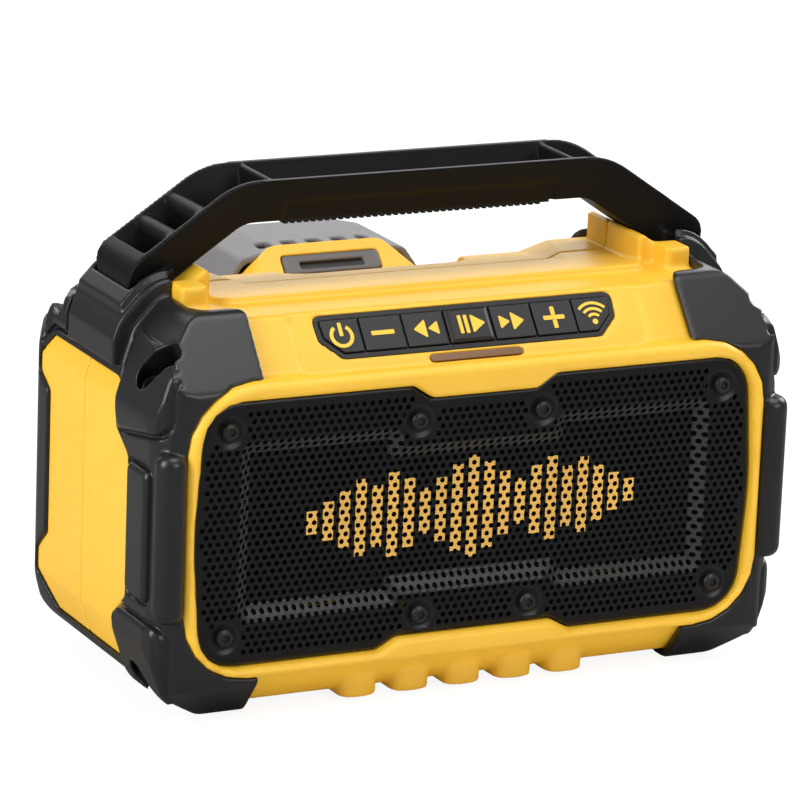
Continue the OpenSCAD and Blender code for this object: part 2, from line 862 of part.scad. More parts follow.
module socket_space() {
  translate([cover_x - cover_w / 2, shell_rear - cover_t, cover_z - cover_h / 2])
    cube([cover_w, past, cover_h]);
  translate([cover_x - cover_w / 2 + well_in, shell_rear - cover_t - well_d, cover_z - cover_h / 2 + well_in])
    cube([cover_w - 2 * well_in, past, cover_h - 2 * well_in]);
  translate([cover_x, bead_y, bead_z]) rotate([0, 90, 0])
    cylinder(r = bead_r + run_gap, h = cover_w + 2 * bead_end + 2 * run_gap, center = true);
  for (p = [[aux_x, aux_r], [power_x, power_r]])
    facing_rear(p[0], shell_rear - 2 * socket_block, cover_z)
      cylinder(r = p[1] + seat_gap, h = 2 * socket_block);
}

module housing_seal() color(black) seal_ring(-seat_gap / 2);

module housing_screws() color(steel) for (p = housing_screw_places)
  translate([p[0], housing_seat_y, p[1]])
    screw(housing_screw_r, housing_screw_l, housing_head_r, housing_head_t, -1);

// Bumpers

// The part of the body's surface that a bumper covers, seen from above
function bumper_plan() = [
  [patch_x, front_y - past, 0], [half_w + past, front_y - past, 0], [half_w + past, rear_y + past, 0],
  [patch_x, rear_y + past, 0], [patch_x, rear_y - patch_d, 6], [cap_x, rear_y - patch_d, 6],
  [cap_x, front_y + patch_d, 6], [patch_x, front_y + patch_d, 6]
];

// Raised pads on the side: over, beside and under the rail, and one over the rear of the window
function pad_outlines() = let (
  front = front_y + pad_edge,
  front_in = front + pad_run,
  rear = rear_y - pad_edge,
  rear_in = rear - pad_rear_run
) [
  [[front, pad_high + 7, 5], [front_in, pad_high, 4], [front_in + 3, pad_high + 12, 3],
    [front_in + 3, pad_high + 40, 2], [front + 11, pad_high + 34.5, 4], [front, pad_high + 28, 3]],
  box_outline(front, 4, front_in - 1, pad_low, 5),
  box_outline(front + 8, pad_low + 8, front_in - 11, pad_high - 9, 3),
  [[rear_in, pad_high + 22, 3], [rear - 8, pad_high + 22, 4], [rear, pad_high + 13, 4],
    [rear, pad_high + 28, 3], [rear - 11, pad_high + 34.5, 4], [rear_in, pad_high + 40, 3]]
];

module on_side() translate([half_w - pad_reach, 0, 0]) rotate([90, 0, 90])
  linear_extrude(pad_reach + past) children();

module pads() for (p = pad_outlines()) for (step = [0, 1]) intersection() {
  envelope(-pad_t * (1 + step) / 2);
  on_side() polygon(rounded(inset(p, pad_bevel * step)));
}

module pad_grooves() difference() {
  on_side() for (p = pad_outlines()) difference() {
    polygon(rounded(inset(p, -pad_groove)));
    polygon(rounded(p));
  }
  envelope(pad_groove_d);
}

// A rail with rounded ends, from its profile
module corner_rail() translate([rail_x, rail_y, grille_z + 1 - rail_h / 2]) rotate_extrude()
  polygon(concat(
    [[0, 0]],
    [for (a = [0:15:90]) [rail_r - rail_cap * (1 - sin(a)), rail_cap * (1 - cos(a))]],
    [for (a = [90:-15:0]) [rail_r - rail_cap * (1 - sin(a)), rail_h - rail_cap * (1 - cos(a))]],
    [[0, rail_h]]
  ));

// Stepped collar round the handle's foot
module collar() for (i = [0, 1]) intersection() {
  along_y(handle_y - handle_w / 2 - collar_margin + 3 * i, handle_y + handle_w / 2 + collar_margin - 3 * i)
    polygon(rounded(inset(end_view(), -collar_t - collar_step * i)));
  translate([cap_x, front_y, body_h - collar_low + 8 * i])
    cube([half_w - cap_x - 4 * i, body_d, 2 * collar_low]);
}

module right_side_bumper() color(satin) difference() {
  union() {
    difference() {
      union() {
        intersection() {
          union() {
            envelope(0);
            pads();
          }
          translate([0, 0, -past]) linear_extrude(body_h + 3 * past) polygon(rounded(bumper_plan()));
        }
        corner_rail();
        collar();
      }
      envelope(bumper_t - seat_gap);
      pad_grooves();
    }
    pit_cups();
  }
  pits();
  along_y(front_y - 2 * past, cavity_y) polygon(rounded(inset(bezel_outline(), -seat_gap), 5));
  translate([half_w, 0, 0]) along_x(40) polygon(rounded(side_window()));
  translate([patch_x - past, rear_y - patch_d - past, side_rise])
    cube([cap_x - patch_x + past, 2 * patch_d + past, body_h - 2 * side_rise]);
  handle_sockets();
}

module right_bumper() right_side_bumper();

module left_bumper() mirror([1, 0, 0]) right_side_bumper();

module bumper_screws() color(steel) at_pits([0, 1], [0, 1]) translate([0, 0, -pit_deep]) {
  translate([0, 0, -bumper_screw_l]) cylinder(r = bumper_screw_r, h = bumper_screw_l);
  difference() {
    cylinder(r = bumper_head_r, h = bumper_head_t);
    translate([0, 0, bumper_head_t - 1]) cylinder(r = bumper_head_r * 0.55, h = 2, $fn = 6);
  }
}

// Handle

function section_half(w) = (handle_base_w + (handle_w - handle_base_w) * w / handle_h) / 2;

// The section across the handle and out from its underside, and the channel in its outer side
module handle_section() polygon([
  [-section_half(0), 0], [section_half(0), 0], [section_half(handle_h), handle_h],
  [-section_half(handle_h), handle_h]
]);

module channel_section() polygon([
  [-section_half(channel_floor) + rim_t, channel_floor], [section_half(channel_floor) - rim_t, channel_floor],
  [section_half(handle_h + 1) - rim_t, handle_h + 1], [-section_half(handle_h + 1) + rim_t, handle_h + 1]
]);

module u_section() difference() {
  handle_section();
  channel_section();
}

// A web across the channel, with a rounded top
module handle_web(t) intersection() {
  top = handle_h - web_drop;
  rotate([90, 0, 0]) linear_extrude(handle_w, center = true) {
    translate([-t / 2, 1]) square([t, top - t / 2 - 1]);
    translate([0, top - t / 2]) circle(d = t);
  }
  along_x(2 * t) handle_section();
}

// A leg that ends in a solid block, which stands on the deck
module handle_leg() {
  translate([bend_x, handle_y, bend_z]) rotate([90, 0, 0]) rotate([0, 0, 90]) mirror([0, 1, 0])
    rotate_extrude(angle = bend_a) translate([bend_r, 0]) rotate([0, 0, -90]) u_section();
  translate([leg_x0, handle_y, leg_z0]) rotate([0, bend_a, 0]) {
    difference() {
      translate([leg_l, 0, 0]) along_x(2 * leg_l) handle_section();
      along_x(2 * (leg_l - end_block)) channel_section();
    }
    for (d = web_places) translate([d, 0, 0]) handle_web(web_t);
  }
  translate([bar_rib_x, handle_y, handle_z]) handle_web(bar_rib_t);
  along_y(handle_y - handle_w / 2 + 0.5, handle_y + handle_w / 2 - 0.5) polygon(foot_outline());
}

// What the rounded end of a leg leaves off, over its top edge
function leg_end() = let (
  n = [sin(bend_a), cos(bend_a)],
  top = [leg_x0, leg_z0] + handle_h * n,
  tip = [foot_x, top[1] - (foot_x - top[0]) * tan(bend_a)],
  arc = corner(top, tip, [foot_x, 0], leg_end_r, 6)
) concat(arc, [[foot_x + 2, arc[6][1]], tip + [2, 2 * past], arc[0] + past * n]);

// The hollow that the fingers and the palm rest in, in front and behind
module grip_hollow() translate([0, handle_y, handle_z]) along_x(2 * grip_half) mirrored() polygon([
  [section_half(0) - grip_sink, -1], [handle_w, -1], [handle_w, grip_h + 1],
  [section_half(grip_h) + 0.2, grip_h], [section_half(grip_h) - grip_sink, grip_h - grip_sink]
]);

module handle() color(black) difference() {
  union() {
    translate([0, handle_y, handle_z]) along_x(2 * bend_x) u_section();
    mirrored() handle_leg();
  }
  grip_hollow();
  translate([-body_w, 0, foot_bottom - 2 * body_h]) cube([2 * body_w, body_d, 2 * body_h]);
  mirrored() {
    translate([foot_x, 0, 0]) cube([body_w, body_d, 2 * body_h]);
    along_y(0, body_d) polygon(leg_end());
    for (s = [-1, 1])
      translate([handle_screw_x, handle_y + s * handle_screw_dy, foot_bottom - 1])
        cylinder(r = handle_screw_r + seat_gap, h = handle_screw_l - wall + 1.5);
  }
}

// Soft strip under the bar, with fine ribs across it
module handle_grip() color(black) translate([0, handle_y, handle_z - grip_t]) {
  grip_w = handle_base_w - 2 * grip_sink - 1;
  translate([-grip_half + 1, -grip_w / 2, 0.7]) cube([2 * grip_half - 2, grip_w, grip_t - 0.7]);
  for (x = [-grip_half + 3:grip_pitch:grip_half - 3])
    translate([x - 0.8, -grip_w / 2, 0]) cube([1.6, grip_w, 1]);
}

module handle_screws() color(steel) mirrored() for (s = [-1, 1])
  translate([handle_screw_x, handle_y + s * handle_screw_dy, deck_z - wall]) {
    cylinder(r = handle_screw_r, h = handle_screw_l);
    translate([0, 0, -handle_head_t]) cylinder(r = handle_head_r, h = handle_head_t);
  }

// Grille

// The recess as three blocks, each [x0, z0, x1, z1]
function recess_blocks() = [
  [-recess_half_w, recess_z0, -recess_step_x, recess_z1],
  [-recess_mid_x, recess_z0 + recess_mid_rise, recess_mid_x, recess_z1 - recess_mid_drop],
  [recess_step_x, recess_z0, recess_half_w, recess_z1]
];

module recess_sketch(d) for (b = recess_blocks())
  polygon(rounded(box_outline(b[0] + d, b[1] + d, b[2] - d, b[3] - d, 4)));

// The pressed recess as a solid, with slanted sides
module recess_form(y) for (b = recess_blocks()) hull() for (d = [0, recess_slant])
  along_y(y + recess_d * d / recess_slant - 0.05, y + recess_d * d / recess_slant)
    polygon(rounded(box_outline(b[0] + d, b[1] + d, b[2] - d, b[3] - d, 4)));

function in_block(p, b, d) = p[0] > b[0] + d && p[0] < b[2] - d && p[1] > b[1] + d && p[1] < b[3] - d;
function in_recess(p, d) = max([for (b = recess_blocks()) in_block(p, b, d) ? 1 : 0]) > 0;
function far_from_screws(p) = min([for (s = grille_screw_places) norm(p - s)]) > screw_clear;
function near_notch(p) = abs(p[0]) < low_notch_x + notch_run + 2
  && abs(p[1] - grille_z) > grille_h / 2 - max(top_step, low_step) - hole_margin;
function in_corner(p) = let (q = [abs(p[0]) - grille_w / 2 + grille_bow + grille_r,
  abs(p[1] - grille_z) - grille_h / 2 + grille_r])
  q[0] > 0 && q[1] > 0 && norm(q) > grille_r - hole_margin;
function in_grille(p) = abs(p[0]) < grille_w / 2 - grille_bow - hole_margin
  && abs(p[1] - grille_z) < grille_h / 2 - hole_margin && !near_notch(p) && !in_corner(p);

row_h = hole_pitch * sqrt(3) / 2;
hole_rows = floor(grille_h / row_h / 2);
hole_cols = floor(grille_w / hole_pitch / 2);
hole_places = [
  for (j = [-hole_rows:hole_rows]) for (i = [-hole_cols:hole_cols])
    let (p = [(i + (abs(j) % 2) / 2) * hole_pitch, grille_z + j * row_h])
    if (in_grille(p) && far_from_screws(p)) p
];
rim_holes = [for (p = hole_places) if (!in_recess(p, -hole_d)) p];
plate_holes = [for (p = hole_places) if (in_recess(p, recess_slant + hole_d / 2 + 0.6)) p];

module holes(places) for (p = places) translate(p) circle(d = hole_d, $fn = 24);

module grille() color(black) difference() {
  union() {
    along_y(0, sheet_t) difference() {
      polygon(rounded(grille_outline()));
      recess_sketch(0.4);
      holes(rim_holes);
    }
    along_y(0, flange_d) difference() {
      polygon(rounded(grille_outline()));
      polygon(rounded(inset(grille_outline(), sheet_t)));
    }
    difference() {
      recess_form(sheet_t);
      recess_form(0);
      along_y(recess_d - 1, recess_d + 2 * sheet_t) holes(plate_holes);
    }
  }
  for (p = grille_screw_places) facing_rear(p[0], -1, p[1])
    cylinder(r = grille_screw_r + seat_gap, h = sheet_t + 2);
}

module grille_screws() color(steel) for (p = grille_screw_places) translate([p[0], 0, p[1]])
  screw(grille_screw_r, grille_screw_l, grille_head_r, grille_head_t, 1);

// Keypad

// One key's face, grown by g
module key_sketch(i, g) intersection() {
  polygon(rounded(inset(keypad_outline(), key_inset - g)));
  translate([key_spans[i][0] - g, 0]) square([key_spans[i][1] - key_spans[i][0] + 2 * g, keypad_h]);
}

module keypad_base() color(satin) on_slope() translate([0, 0, -base_back]) linear_extrude(base_t)
  difference() {
    polygon(rounded(keypad_outline()));
    for (i = [0:6]) key_sketch(i, run_gap);
  }

module key(i, rise) color(satin) on_slope() {
  translate([0, 0, -flange_back + flange_t - 0.1])
    linear_extrude(flange_back - flange_t + 0.1 - panel_sink + rise) key_sketch(i, 0);
  translate([0, 0, -flange_back]) linear_extrude(flange_t) intersection() {
    key_sketch(i, flange_out);
    translate([key_spans[i][0] - 0.4, 0])
      square([key_spans[i][1] - key_spans[i][0] + 0.8, keypad_h]);
  }
}

module key_power() key(0, key_rise);

module key_volume_down() key(1, key_rise);

module key_back() key(2, key_rise);

// The middle key stands higher, with slanted sides
module key_play() color(satin) {
  key(3, key_rise);
  on_slope() hull() {
    translate([-mid_key_w / 2, key_inset, -panel_sink + key_rise - 0.1])
      cube([mid_key_w, keypad_h - 2 * key_inset, 0.1]);
    translate([-mid_key_w / 2 + 1.6, key_inset + 1, -panel_sink + key_rise])
      cube([mid_key_w - 3.2, keypad_h - 2 * key_inset - 2, play_rise]);
  }
}

module key_forward() key(4, key_rise);

module key_volume_up() key(5, key_rise);

module key_pairing() key(6, key_rise);

module key_board() color(board_green) on_slope()
  translate([-keypad_w / 2 - board_margin + 1, -board_margin - lens_drop + 1, -board_sink - board_t])
    cube([keypad_w + 2 * board_margin - 2, keypad_h + 2 * board_margin + lens_drop - 2, board_t]);

module key_switches() color(black) on_slope() for (x = switch_places)
  translate([x - switch_w / 2, keypad_h / 2 - switch_w / 2, -board_sink]) {
    cube([switch_w, switch_w, board_sink - switch_sink - 0.4]);
    translate([switch_w / 2, switch_w / 2, 0]) cylinder(r = 1.7, h = board_sink - switch_sink);
  }

module status_lens() color("rosybrown") on_slope() translate([0, 0, -board_sink])
  linear_extrude(board_sink - panel_sink + 0.2) lens_outline(0);

// Drivers

module at_driver(s) facing_rear(s * driver_x, driver_y, grille_z) children();

module driver_frame(s) color(black) at_driver(s) difference() {
  rotate_extrude() polygon([
    [seat_r, 0], [driver_r + driver_ear, 0], [driver_r + driver_ear, frame_t], [seat_r + 2, frame_t],
    [seat_r + 2, 6], [basket_r, basket_d - 3], [basket_r, basket_d], [magnet_bore, basket_d],
    [magnet_bore, basket_d - basket_t], [basket_r - basket_t, basket_d - basket_t],
    [basket_r - basket_t, basket_d - 3.6], [seat_r, 5.4], [seat_r, surround_foot + 1.2],
    [seat_r - surround_t - 0.2, surround_foot + 1.2], [seat_r - surround_t - 0.2, surround_foot],
    [seat_r, surround_foot]
  ]);
  for (a = [0:90:270]) rotate([0, 0, a]) translate([15, -7, 7.5]) cube([20, 14, basket_d - 12.5]);
  for (p = driver_places) translate([p[0], -p[1], -1]) cylinder(r = driver_screw_r + seat_gap, h = 6);
}

module magnet(s) color(steel) at_driver(s) rotate_extrude() polygon([
  [magnet_bore, basket_d], [magnet_r, basket_d], [magnet_r, driver_d - magnet_back],
  [magnet_r - 2, driver_d], [0, driver_d], [0, basket_d - 4], [pole_r, basket_d - 4],
  [pole_r, driver_d - magnet_back], [magnet_bore, driver_d - magnet_back]
]);

module cone(s) color(black) at_driver(s) rotate_extrude() polygon([
  [cone_r, 0.2], [cone_r, 1.2], [coil_r, cone_d + cone_t], [coil_r, coil_end], [coil_r - cone_t, coil_end],
  [coil_r - cone_t, cone_d], [cone_r - 1.2, 0.2]
]);

// Dome over the coil, seated in the cone's former
module dust_cap(s) color(black) at_driver(s) {
  cap_r = coil_r - cone_t;
  cap_h = 3.4;
  rim_z = cone_d + 0.2;
  ball_r = (cap_r * cap_r + cap_h * cap_h) / (2 * cap_h);
  inner_r = ball_r - cone_t;
  top_z = rim_z + ball_r - cap_h;
  outer_a = asin(cap_r / ball_r);
  inner_a = asin((cap_r - cone_t) / inner_r);
  rotate_extrude() polygon(concat(
    [for (i = [0:8]) let (a = outer_a * i / 8) [ball_r * sin(a), top_z - ball_r * cos(a)]],
    [[cap_r, rim_z + 1.2], [cap_r - cone_t, rim_z + 1.2]],
    [for (i = [8:-1:0]) let (a = inner_a * i / 8) [inner_r * sin(a), top_z - inner_r * cos(a)]]
  ));
}

// Half-round roll between the cone and the frame
module surround(s) color(black) at_driver(s) rotate_extrude() polygon(concat(
  [for (a = [0:20:180]) [surround_mid + surround_r * cos(a), surround_foot - surround_r * sin(a)]],
  [for (a = [180:-20:0]) let (r = surround_r - surround_t)
    [surround_mid + r * cos(a), surround_foot - r * sin(a)]]
));

module gasket(s) color(black) facing_rear(s * driver_x, cavity_y, grille_z) difference() {
  cylinder(r = driver_r + driver_ear, h = gasket_t);
  translate([0, 0, -1]) cylinder(r = seat_r, h = gasket_t + 2);
  for (p = driver_places) translate([p[0], -p[1], -1]) cylinder(r = driver_screw_r + seat_gap, h = 6);
}

module driver_screws() color(steel) for (s = [-1, 1]) for (p = driver_places)
  translate([s * driver_x + p[0], driver_y + frame_t, grille_z + p[1]])
    screw(driver_screw_r, frame_t + gasket_t + baffle_t - 1.2, driver_head_r, driver_head_t, -1);

// Plate over the baffle, behind the grille
module baffle_trim() color(black) along_y(baffle_y - trim_t, baffle_y - seat_gap) difference() {
  polygon(rounded(inset(grille_outline(), 2 * seat_gap - grille_fit)));
  for (p = grille_screw_places) translate(p) circle(r = grille_boss_r + seat_gap);
  for (s = [-1, 1]) translate([s * driver_x, grille_z]) circle(r = seat_r);
}

module left_driver_frame() driver_frame(-1);

module right_driver_frame() driver_frame(1);

module left_magnet() magnet(-1);

module right_magnet() magnet(1);

module left_cone() cone(-1);

module right_cone() cone(1);

module left_dust_cap() dust_cap(-1);

module right_dust_cap() dust_cap(1);

module left_surround() surround(-1);

module right_surround() surround(1);

module left_gasket() gasket(-1);

module right_gasket() gasket(1);

// Boards inside the rear

module main_board() color(board_green) translate([-board_half, board_y, board_z0])
  cube([2 * board_half, board_t, board_h]);

module heat_sink() color(steel) translate([-sink_x, board_y - sink_d, board_z0 + sink_rise]) {
  translate([0, sink_d - sink_base, 0]) cube([sink_w, sink_base, sink_h]);
  for (i = [0:fins - 1]) translate([i * (sink_w - fin_t) / (fins - 1), 0, 0])
    cube([fin_t, sink_d - sink_base + 0.5, sink_h]);
}

module wireless_module() color(board_green)
  translate([module_x, board_y - module_t, board_z0 + module_rise]) {
  translate([0, module_t - module_board, 0]) cube([module_w, module_board, module_h]);
  translate([module_edge, 0, module_edge])
    cube([module_w - 2 * module_edge, module_t - module_board + 0.1, module_h - 5 * module_edge]);
}

module board_capacitors() color(black) for (i = [0:2])
  facing_rear(can_x + i * can_pitch, board_y - can_h, board_z0 + can_rise) cylinder(r = can_r, h = can_h);

// Terminals and sockets

module terminal_block() color(black)
  translate([-block_half, shell_rear, block_z0]) cube([2 * block_half, block_d, block_z1 - block_z0]);

module terminal_blades() color(steel) for (x = blade_places)
  translate([x - blade_t / 2, shell_rear + 0.6, block_z1]) cube([blade_t, block_d - 1, blade_h]);

module socket(x, r, bore, pin) color(black)
  facing_rear(x, shell_rear - cover_t - well_d - socket_d, cover_z) {
    difference() {
      union() {
        cylinder(r = r, h = socket_d);
        translate([0, 0, socket_d]) cylinder(r = r + 1, h = 1);
      }
      translate([0, 0, 1.5]) cylinder(r = bore, h = socket_d);
    }
    if (pin > 0) cylinder(r = pin, h = socket_d - 2);
  }

module aux_socket() socket(aux_x, aux_r, aux_bore, 0);

module power_socket() socket(power_x, power_r, power_bore, 1);

// Soft cover that hangs from a bead along its top edge
module socket_cover() color(black) {
  inner_y = shell_rear - cover_t + run_gap;
  low_z = cover_z - cover_h / 2 + run_gap;
  translate([cover_x - cover_w / 2 + run_gap, inner_y, low_z])
    cube([cover_w - 2 * run_gap, cover_t - run_gap, bead_z - hinge_h - low_z]);
  translate([cover_x - cover_w / 2 + 6, inner_y, bead_z - hinge_h - 1])
    cube([cover_w - 12, 1.2, hinge_h + 1]);
  translate([cover_x, bead_y, bead_z]) rotate([0, 90, 0])
    cylinder(r = bead_r, h = cover_w + 2 * bead_end, center = true);
}

// Battery pack

function shell_front_view() = both_halves([
  [shell_w / 2, pack_z, 4], [shell_w / 2, pack_top - chamfer_drop, 8],
  [shell_w / 2 - 13, pack_top + shell_rise, 8]
]);

module pack_shell() color(yellow) difference() {
  union() {
    intersection() {
      along_x(shell_w + past) polygon(rounded([
        [pack_y, pack_z, 2], [base_y, pack_z, 0], [base_y, pack_top + shell_rise, 0],
        [base_y - 1, pack_top + shell_rise, 0.5], [pack_y, pack_top - chamfer_drop, 2]
      ]));
      along_y(pack_y - 1, base_y + 1) polygon(rounded(shell_front_view()));
    }
    translate([0, 0, tee_z0]) linear_extrude(tee_z1 - tee_z0) tee_sketch();
  }
  on_chamfer() translate([0, 0, -button_t - button_travel - 0.3]) linear_extrude(2 * past)
    button_sketch(run_gap);
  for (x = blade_places) translate([x - slot_w / 2, shell_rear, tee_z0 - 1])
    cube([slot_w, block_d + 2, blade_h + 4]);
  for (p = pack_screw_places)
    facing_rear(p[0], base_y - 8, p[1]) cylinder(r = pack_screw_r + seat_gap, h = 9);
}

// Tee of the pack that runs between the rails, seen from above
module tee_sketch() {
  lip = rail_lip - run_gap;
  neck = rail_neck - run_gap;
  hook_y = rail_face - rail_hook - run_gap;
  polygon([
    [-neck, pack_y + 1], [-neck, hook_y], [-lip, hook_y], [-lip, shell_rear + 1.2], [lip, shell_rear + 1.2],
    [lip, hook_y], [neck, hook_y], [neck, pack_y + 1]
  ]);
}

module button_sketch(g) polygon(rounded(box_outline(
  -button_w / 2 - g, button_low - g, button_w / 2 + g, button_low + button_h + g, 1.5)));

module pack_button() color(grey) on_chamfer() difference() {
  translate([0, 0, -button_t]) linear_extrude(button_t + 0.4) button_sketch(0);
  translate([-button_w / 2 + 7, button_low + 2, -1.6]) cube([button_w - 14, 3.2, 3]);
}

function base_front_view() = both_halves([
  [pack_w / 2 - 4, pack_z, 6], [pack_w / 2, pack_z + 10, 6], [pack_w / 2, pack_top - 14, 6],
  [pack_w / 2 - 8, pack_top - 3, 4], [pack_w / 2 - 22, pack_top, 6]
]);

module base_form(d) intersection() {
  along_y(base_y - (d > 0 ? 1 : 0), pack_rear - d) polygon(rounded(inset(base_front_view(), d)));
  translate([0, 0, pack_z]) linear_extrude(pack_l)
    polygon(rounded([
      [-pack_w / 2 + d, base_y - 1, 0], [pack_w / 2 - d, base_y - 1, 0],
      [pack_w / 2 - d, pack_rear - d, 9], [-pack_w / 2 + d, pack_rear - d, 9]
    ]));
}

module pack_base() color(grey) difference() {
  union() {
    difference() {
      base_form(0);
      base_form(pack_wall);
    }
    intersection() {
      base_form(0);
      for (p = pack_screw_places) facing_rear(p[0], base_y, p[1]) cylinder(r = pack_boss_r, h = pack_d);
    }
  }
  for (i = [-2:2]) translate([i * vent_pitch - vent_w / 2, base_y + 6, pack_top - 2 * pack_wall])
    cube([vent_w, 7, 4 * pack_wall]);
  for (i = [-2:2]) translate([i * rib_pitch - 1.5, pack_rear - 1.1, pack_z + 14]) cube([3, 3, pack_l - 34]);
  for (p = pack_screw_places) {
    facing_rear(p[0], base_y - 1, p[1]) cylinder(r = pack_screw_r + seat_gap, h = 8);
    facing_rear(p[0], base_y + 4, p[1]) cylinder(r = pack_boss_r - 0.8, h = pack_d);
  }
}

module pack_cells() color(steel) for (row = [0:cell_rows - 1]) for (side = [-1, 1])
  translate([0, base_y + (pack_d - pack_wall) / 2 + side * (cell_r + 0.5), cell_z0 + row * cell_pitch])
    rotate([0, 90, 0]) cylinder(r = cell_r, h = cell_l, center = true);

// Two end plates that hold the cells between the shell and the base
module pack_cell_frame() color(black) mirrored() difference() {
  translate([cell_l / 2 - 4, base_y, cell_z0 - cell_r - 2])
    cube([6, pack_d - pack_wall - 1, (cell_rows - 1) * cell_pitch + 2 * cell_r + 4]);
  for (row = [0:cell_rows - 1]) for (side = [-1, 1])
    translate([0, base_y + (pack_d - pack_wall) / 2 + side * (cell_r + 0.5), cell_z0 + row * cell_pitch])
      rotate([0, 90, 0]) cylinder(r = cell_r + seat_gap, h = cell_l / 2);
}

module pack_contacts() color(steel) for (x = blade_places) for (s = [-1, 1])
  translate([x + s * (slot_w - contact_t) / 2 - contact_t / 2, shell_rear + 1.6, tee_z0 + 1])
    cube([contact_t, block_d - 1, blade_h]);

module pack_screws() color(steel) for (p = pack_screw_places) translate([p[0], base_y + 4, p[1]])
  screw(pack_screw_r, pack_screw_l, pack_boss_r - 1, 2, -1);

place() front_housing();
place() rear_housing();
place() housing_seal();
place() left_bumper();
place() right_bumper();
place() bumper_screws();
place() housing_screws();
place() handle();
place() handle_grip();
place() handle_screws();
place() grille();
place() grille_screws();
place() keypad_base();
place() key_power();
place() key_volume_down();
place() key_back();
place() key_play();
place() key_forward();
place() key_volume_up();
place() key_pairing();
place() key_board();
place() key_switches();
place() status_lens();
place() left_driver_frame();
place() right_driver_frame();
place() left_magnet();
place() right_magnet();
place() left_cone();
place() right_cone();
place() left_dust_cap();
place() right_dust_cap();
place() left_surround();
place() right_surround();
place() left_gasket();
place() right_gasket();
place() driver_screws();
place() baffle_trim();
place() main_board();
place() heat_sink();
place() wireless_module();
place() board_capacitors();
place() terminal_block();
place() terminal_blades();
place() aux_socket();
place() power_socket();
place() socket_cover();
place() pack_shell();
place() pack_base();
place() pack_button();
place() pack_cells();
place() pack_cell_frame();
place() pack_contacts();
place() pack_screws();
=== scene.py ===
import json
import math

import bmesh
import bpy
import numpy as np
from mathutils import Matrix, Vector
from mathutils.geometry import delaunay_2d_cdt


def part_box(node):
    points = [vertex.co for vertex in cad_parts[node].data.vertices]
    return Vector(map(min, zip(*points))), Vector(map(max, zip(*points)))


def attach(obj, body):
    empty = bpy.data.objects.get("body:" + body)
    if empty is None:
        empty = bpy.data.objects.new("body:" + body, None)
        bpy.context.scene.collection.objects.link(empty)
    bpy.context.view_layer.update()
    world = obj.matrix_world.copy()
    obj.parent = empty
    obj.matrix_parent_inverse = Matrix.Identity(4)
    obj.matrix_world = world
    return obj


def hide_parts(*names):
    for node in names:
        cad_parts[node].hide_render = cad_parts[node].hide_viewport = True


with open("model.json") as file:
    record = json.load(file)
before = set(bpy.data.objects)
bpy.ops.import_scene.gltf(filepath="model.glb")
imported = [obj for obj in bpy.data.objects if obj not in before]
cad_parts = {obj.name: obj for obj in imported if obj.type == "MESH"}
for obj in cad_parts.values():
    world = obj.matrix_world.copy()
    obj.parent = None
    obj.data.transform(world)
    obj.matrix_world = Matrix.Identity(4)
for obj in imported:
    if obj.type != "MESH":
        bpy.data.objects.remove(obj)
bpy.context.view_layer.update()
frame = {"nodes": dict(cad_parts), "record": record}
nodes = frame["nodes"]
MM = 0.001
scene = bpy.context.scene


# Materials

DRIFT_SCALE, DRIFT_DETAIL = 35, 4
GRAIN_DETAIL, GRAIN_ROUGHNESS, GRAIN_DEPTH = 3, 0.6, 0.0002
GLOSS_SPREAD = 0.06
# Painted highlights on edges, picked by pointiness: its span, and how much lighter the edge colour is
HIGHLIGHT_SPAN, HIGHLIGHT_GAIN, HIGHLIGHT_LIFT = (0.52, 0.62), 2, 0.05
# Painted sheen on slanted bands, picked by how far the normal faces along Y
SHEEN_BAND_IN, SHEEN_BAND_OUT = (-0.95, -0.8), (-0.6, -0.4)


def material(name):
    mat = bpy.data.materials.new(name)
    mat.use_nodes = True
    tree = mat.node_tree
    shader = tree.nodes["Principled BSDF"]
    coords = tree.nodes.new("ShaderNodeTexCoord").outputs["Object"]
    return mat, tree, shader, coords


def noise(tree, coords, scale, detail=2.0, roughness=0.5):
    tex = tree.nodes.new("ShaderNodeTexNoise")
    tex.inputs["Scale"].default_value = scale
    tex.inputs["Detail"].default_value = detail
    tex.inputs["Roughness"].default_value = roughness
    tree.links.new(coords, tex.inputs["Vector"])
    return tex.outputs["Fac"]


def span(tree, value, low, high, from_low=0.3, from_high=0.7):
    node = tree.nodes.new("ShaderNodeMapRange")
    node.inputs["From Min"].default_value = from_low
    node.inputs["From Max"].default_value = from_high
    node.inputs["To Min"].default_value = low
    node.inputs["To Max"].default_value = high
    tree.links.new(value, node.inputs["Value"])
    return node.outputs["Result"]


def blend_colours(tree, fac, a, b):
    node = tree.nodes.new("ShaderNodeMix")
    node.data_type = "RGBA"
    for socket, value in ((node.inputs["A"], a), (node.inputs["B"], b)):
        if isinstance(value, tuple):
            socket.default_value = (*value, 1)
        else:
            tree.links.new(value, socket)
    tree.links.new(fac, node.inputs["Factor"])
    return node.outputs["Result"]


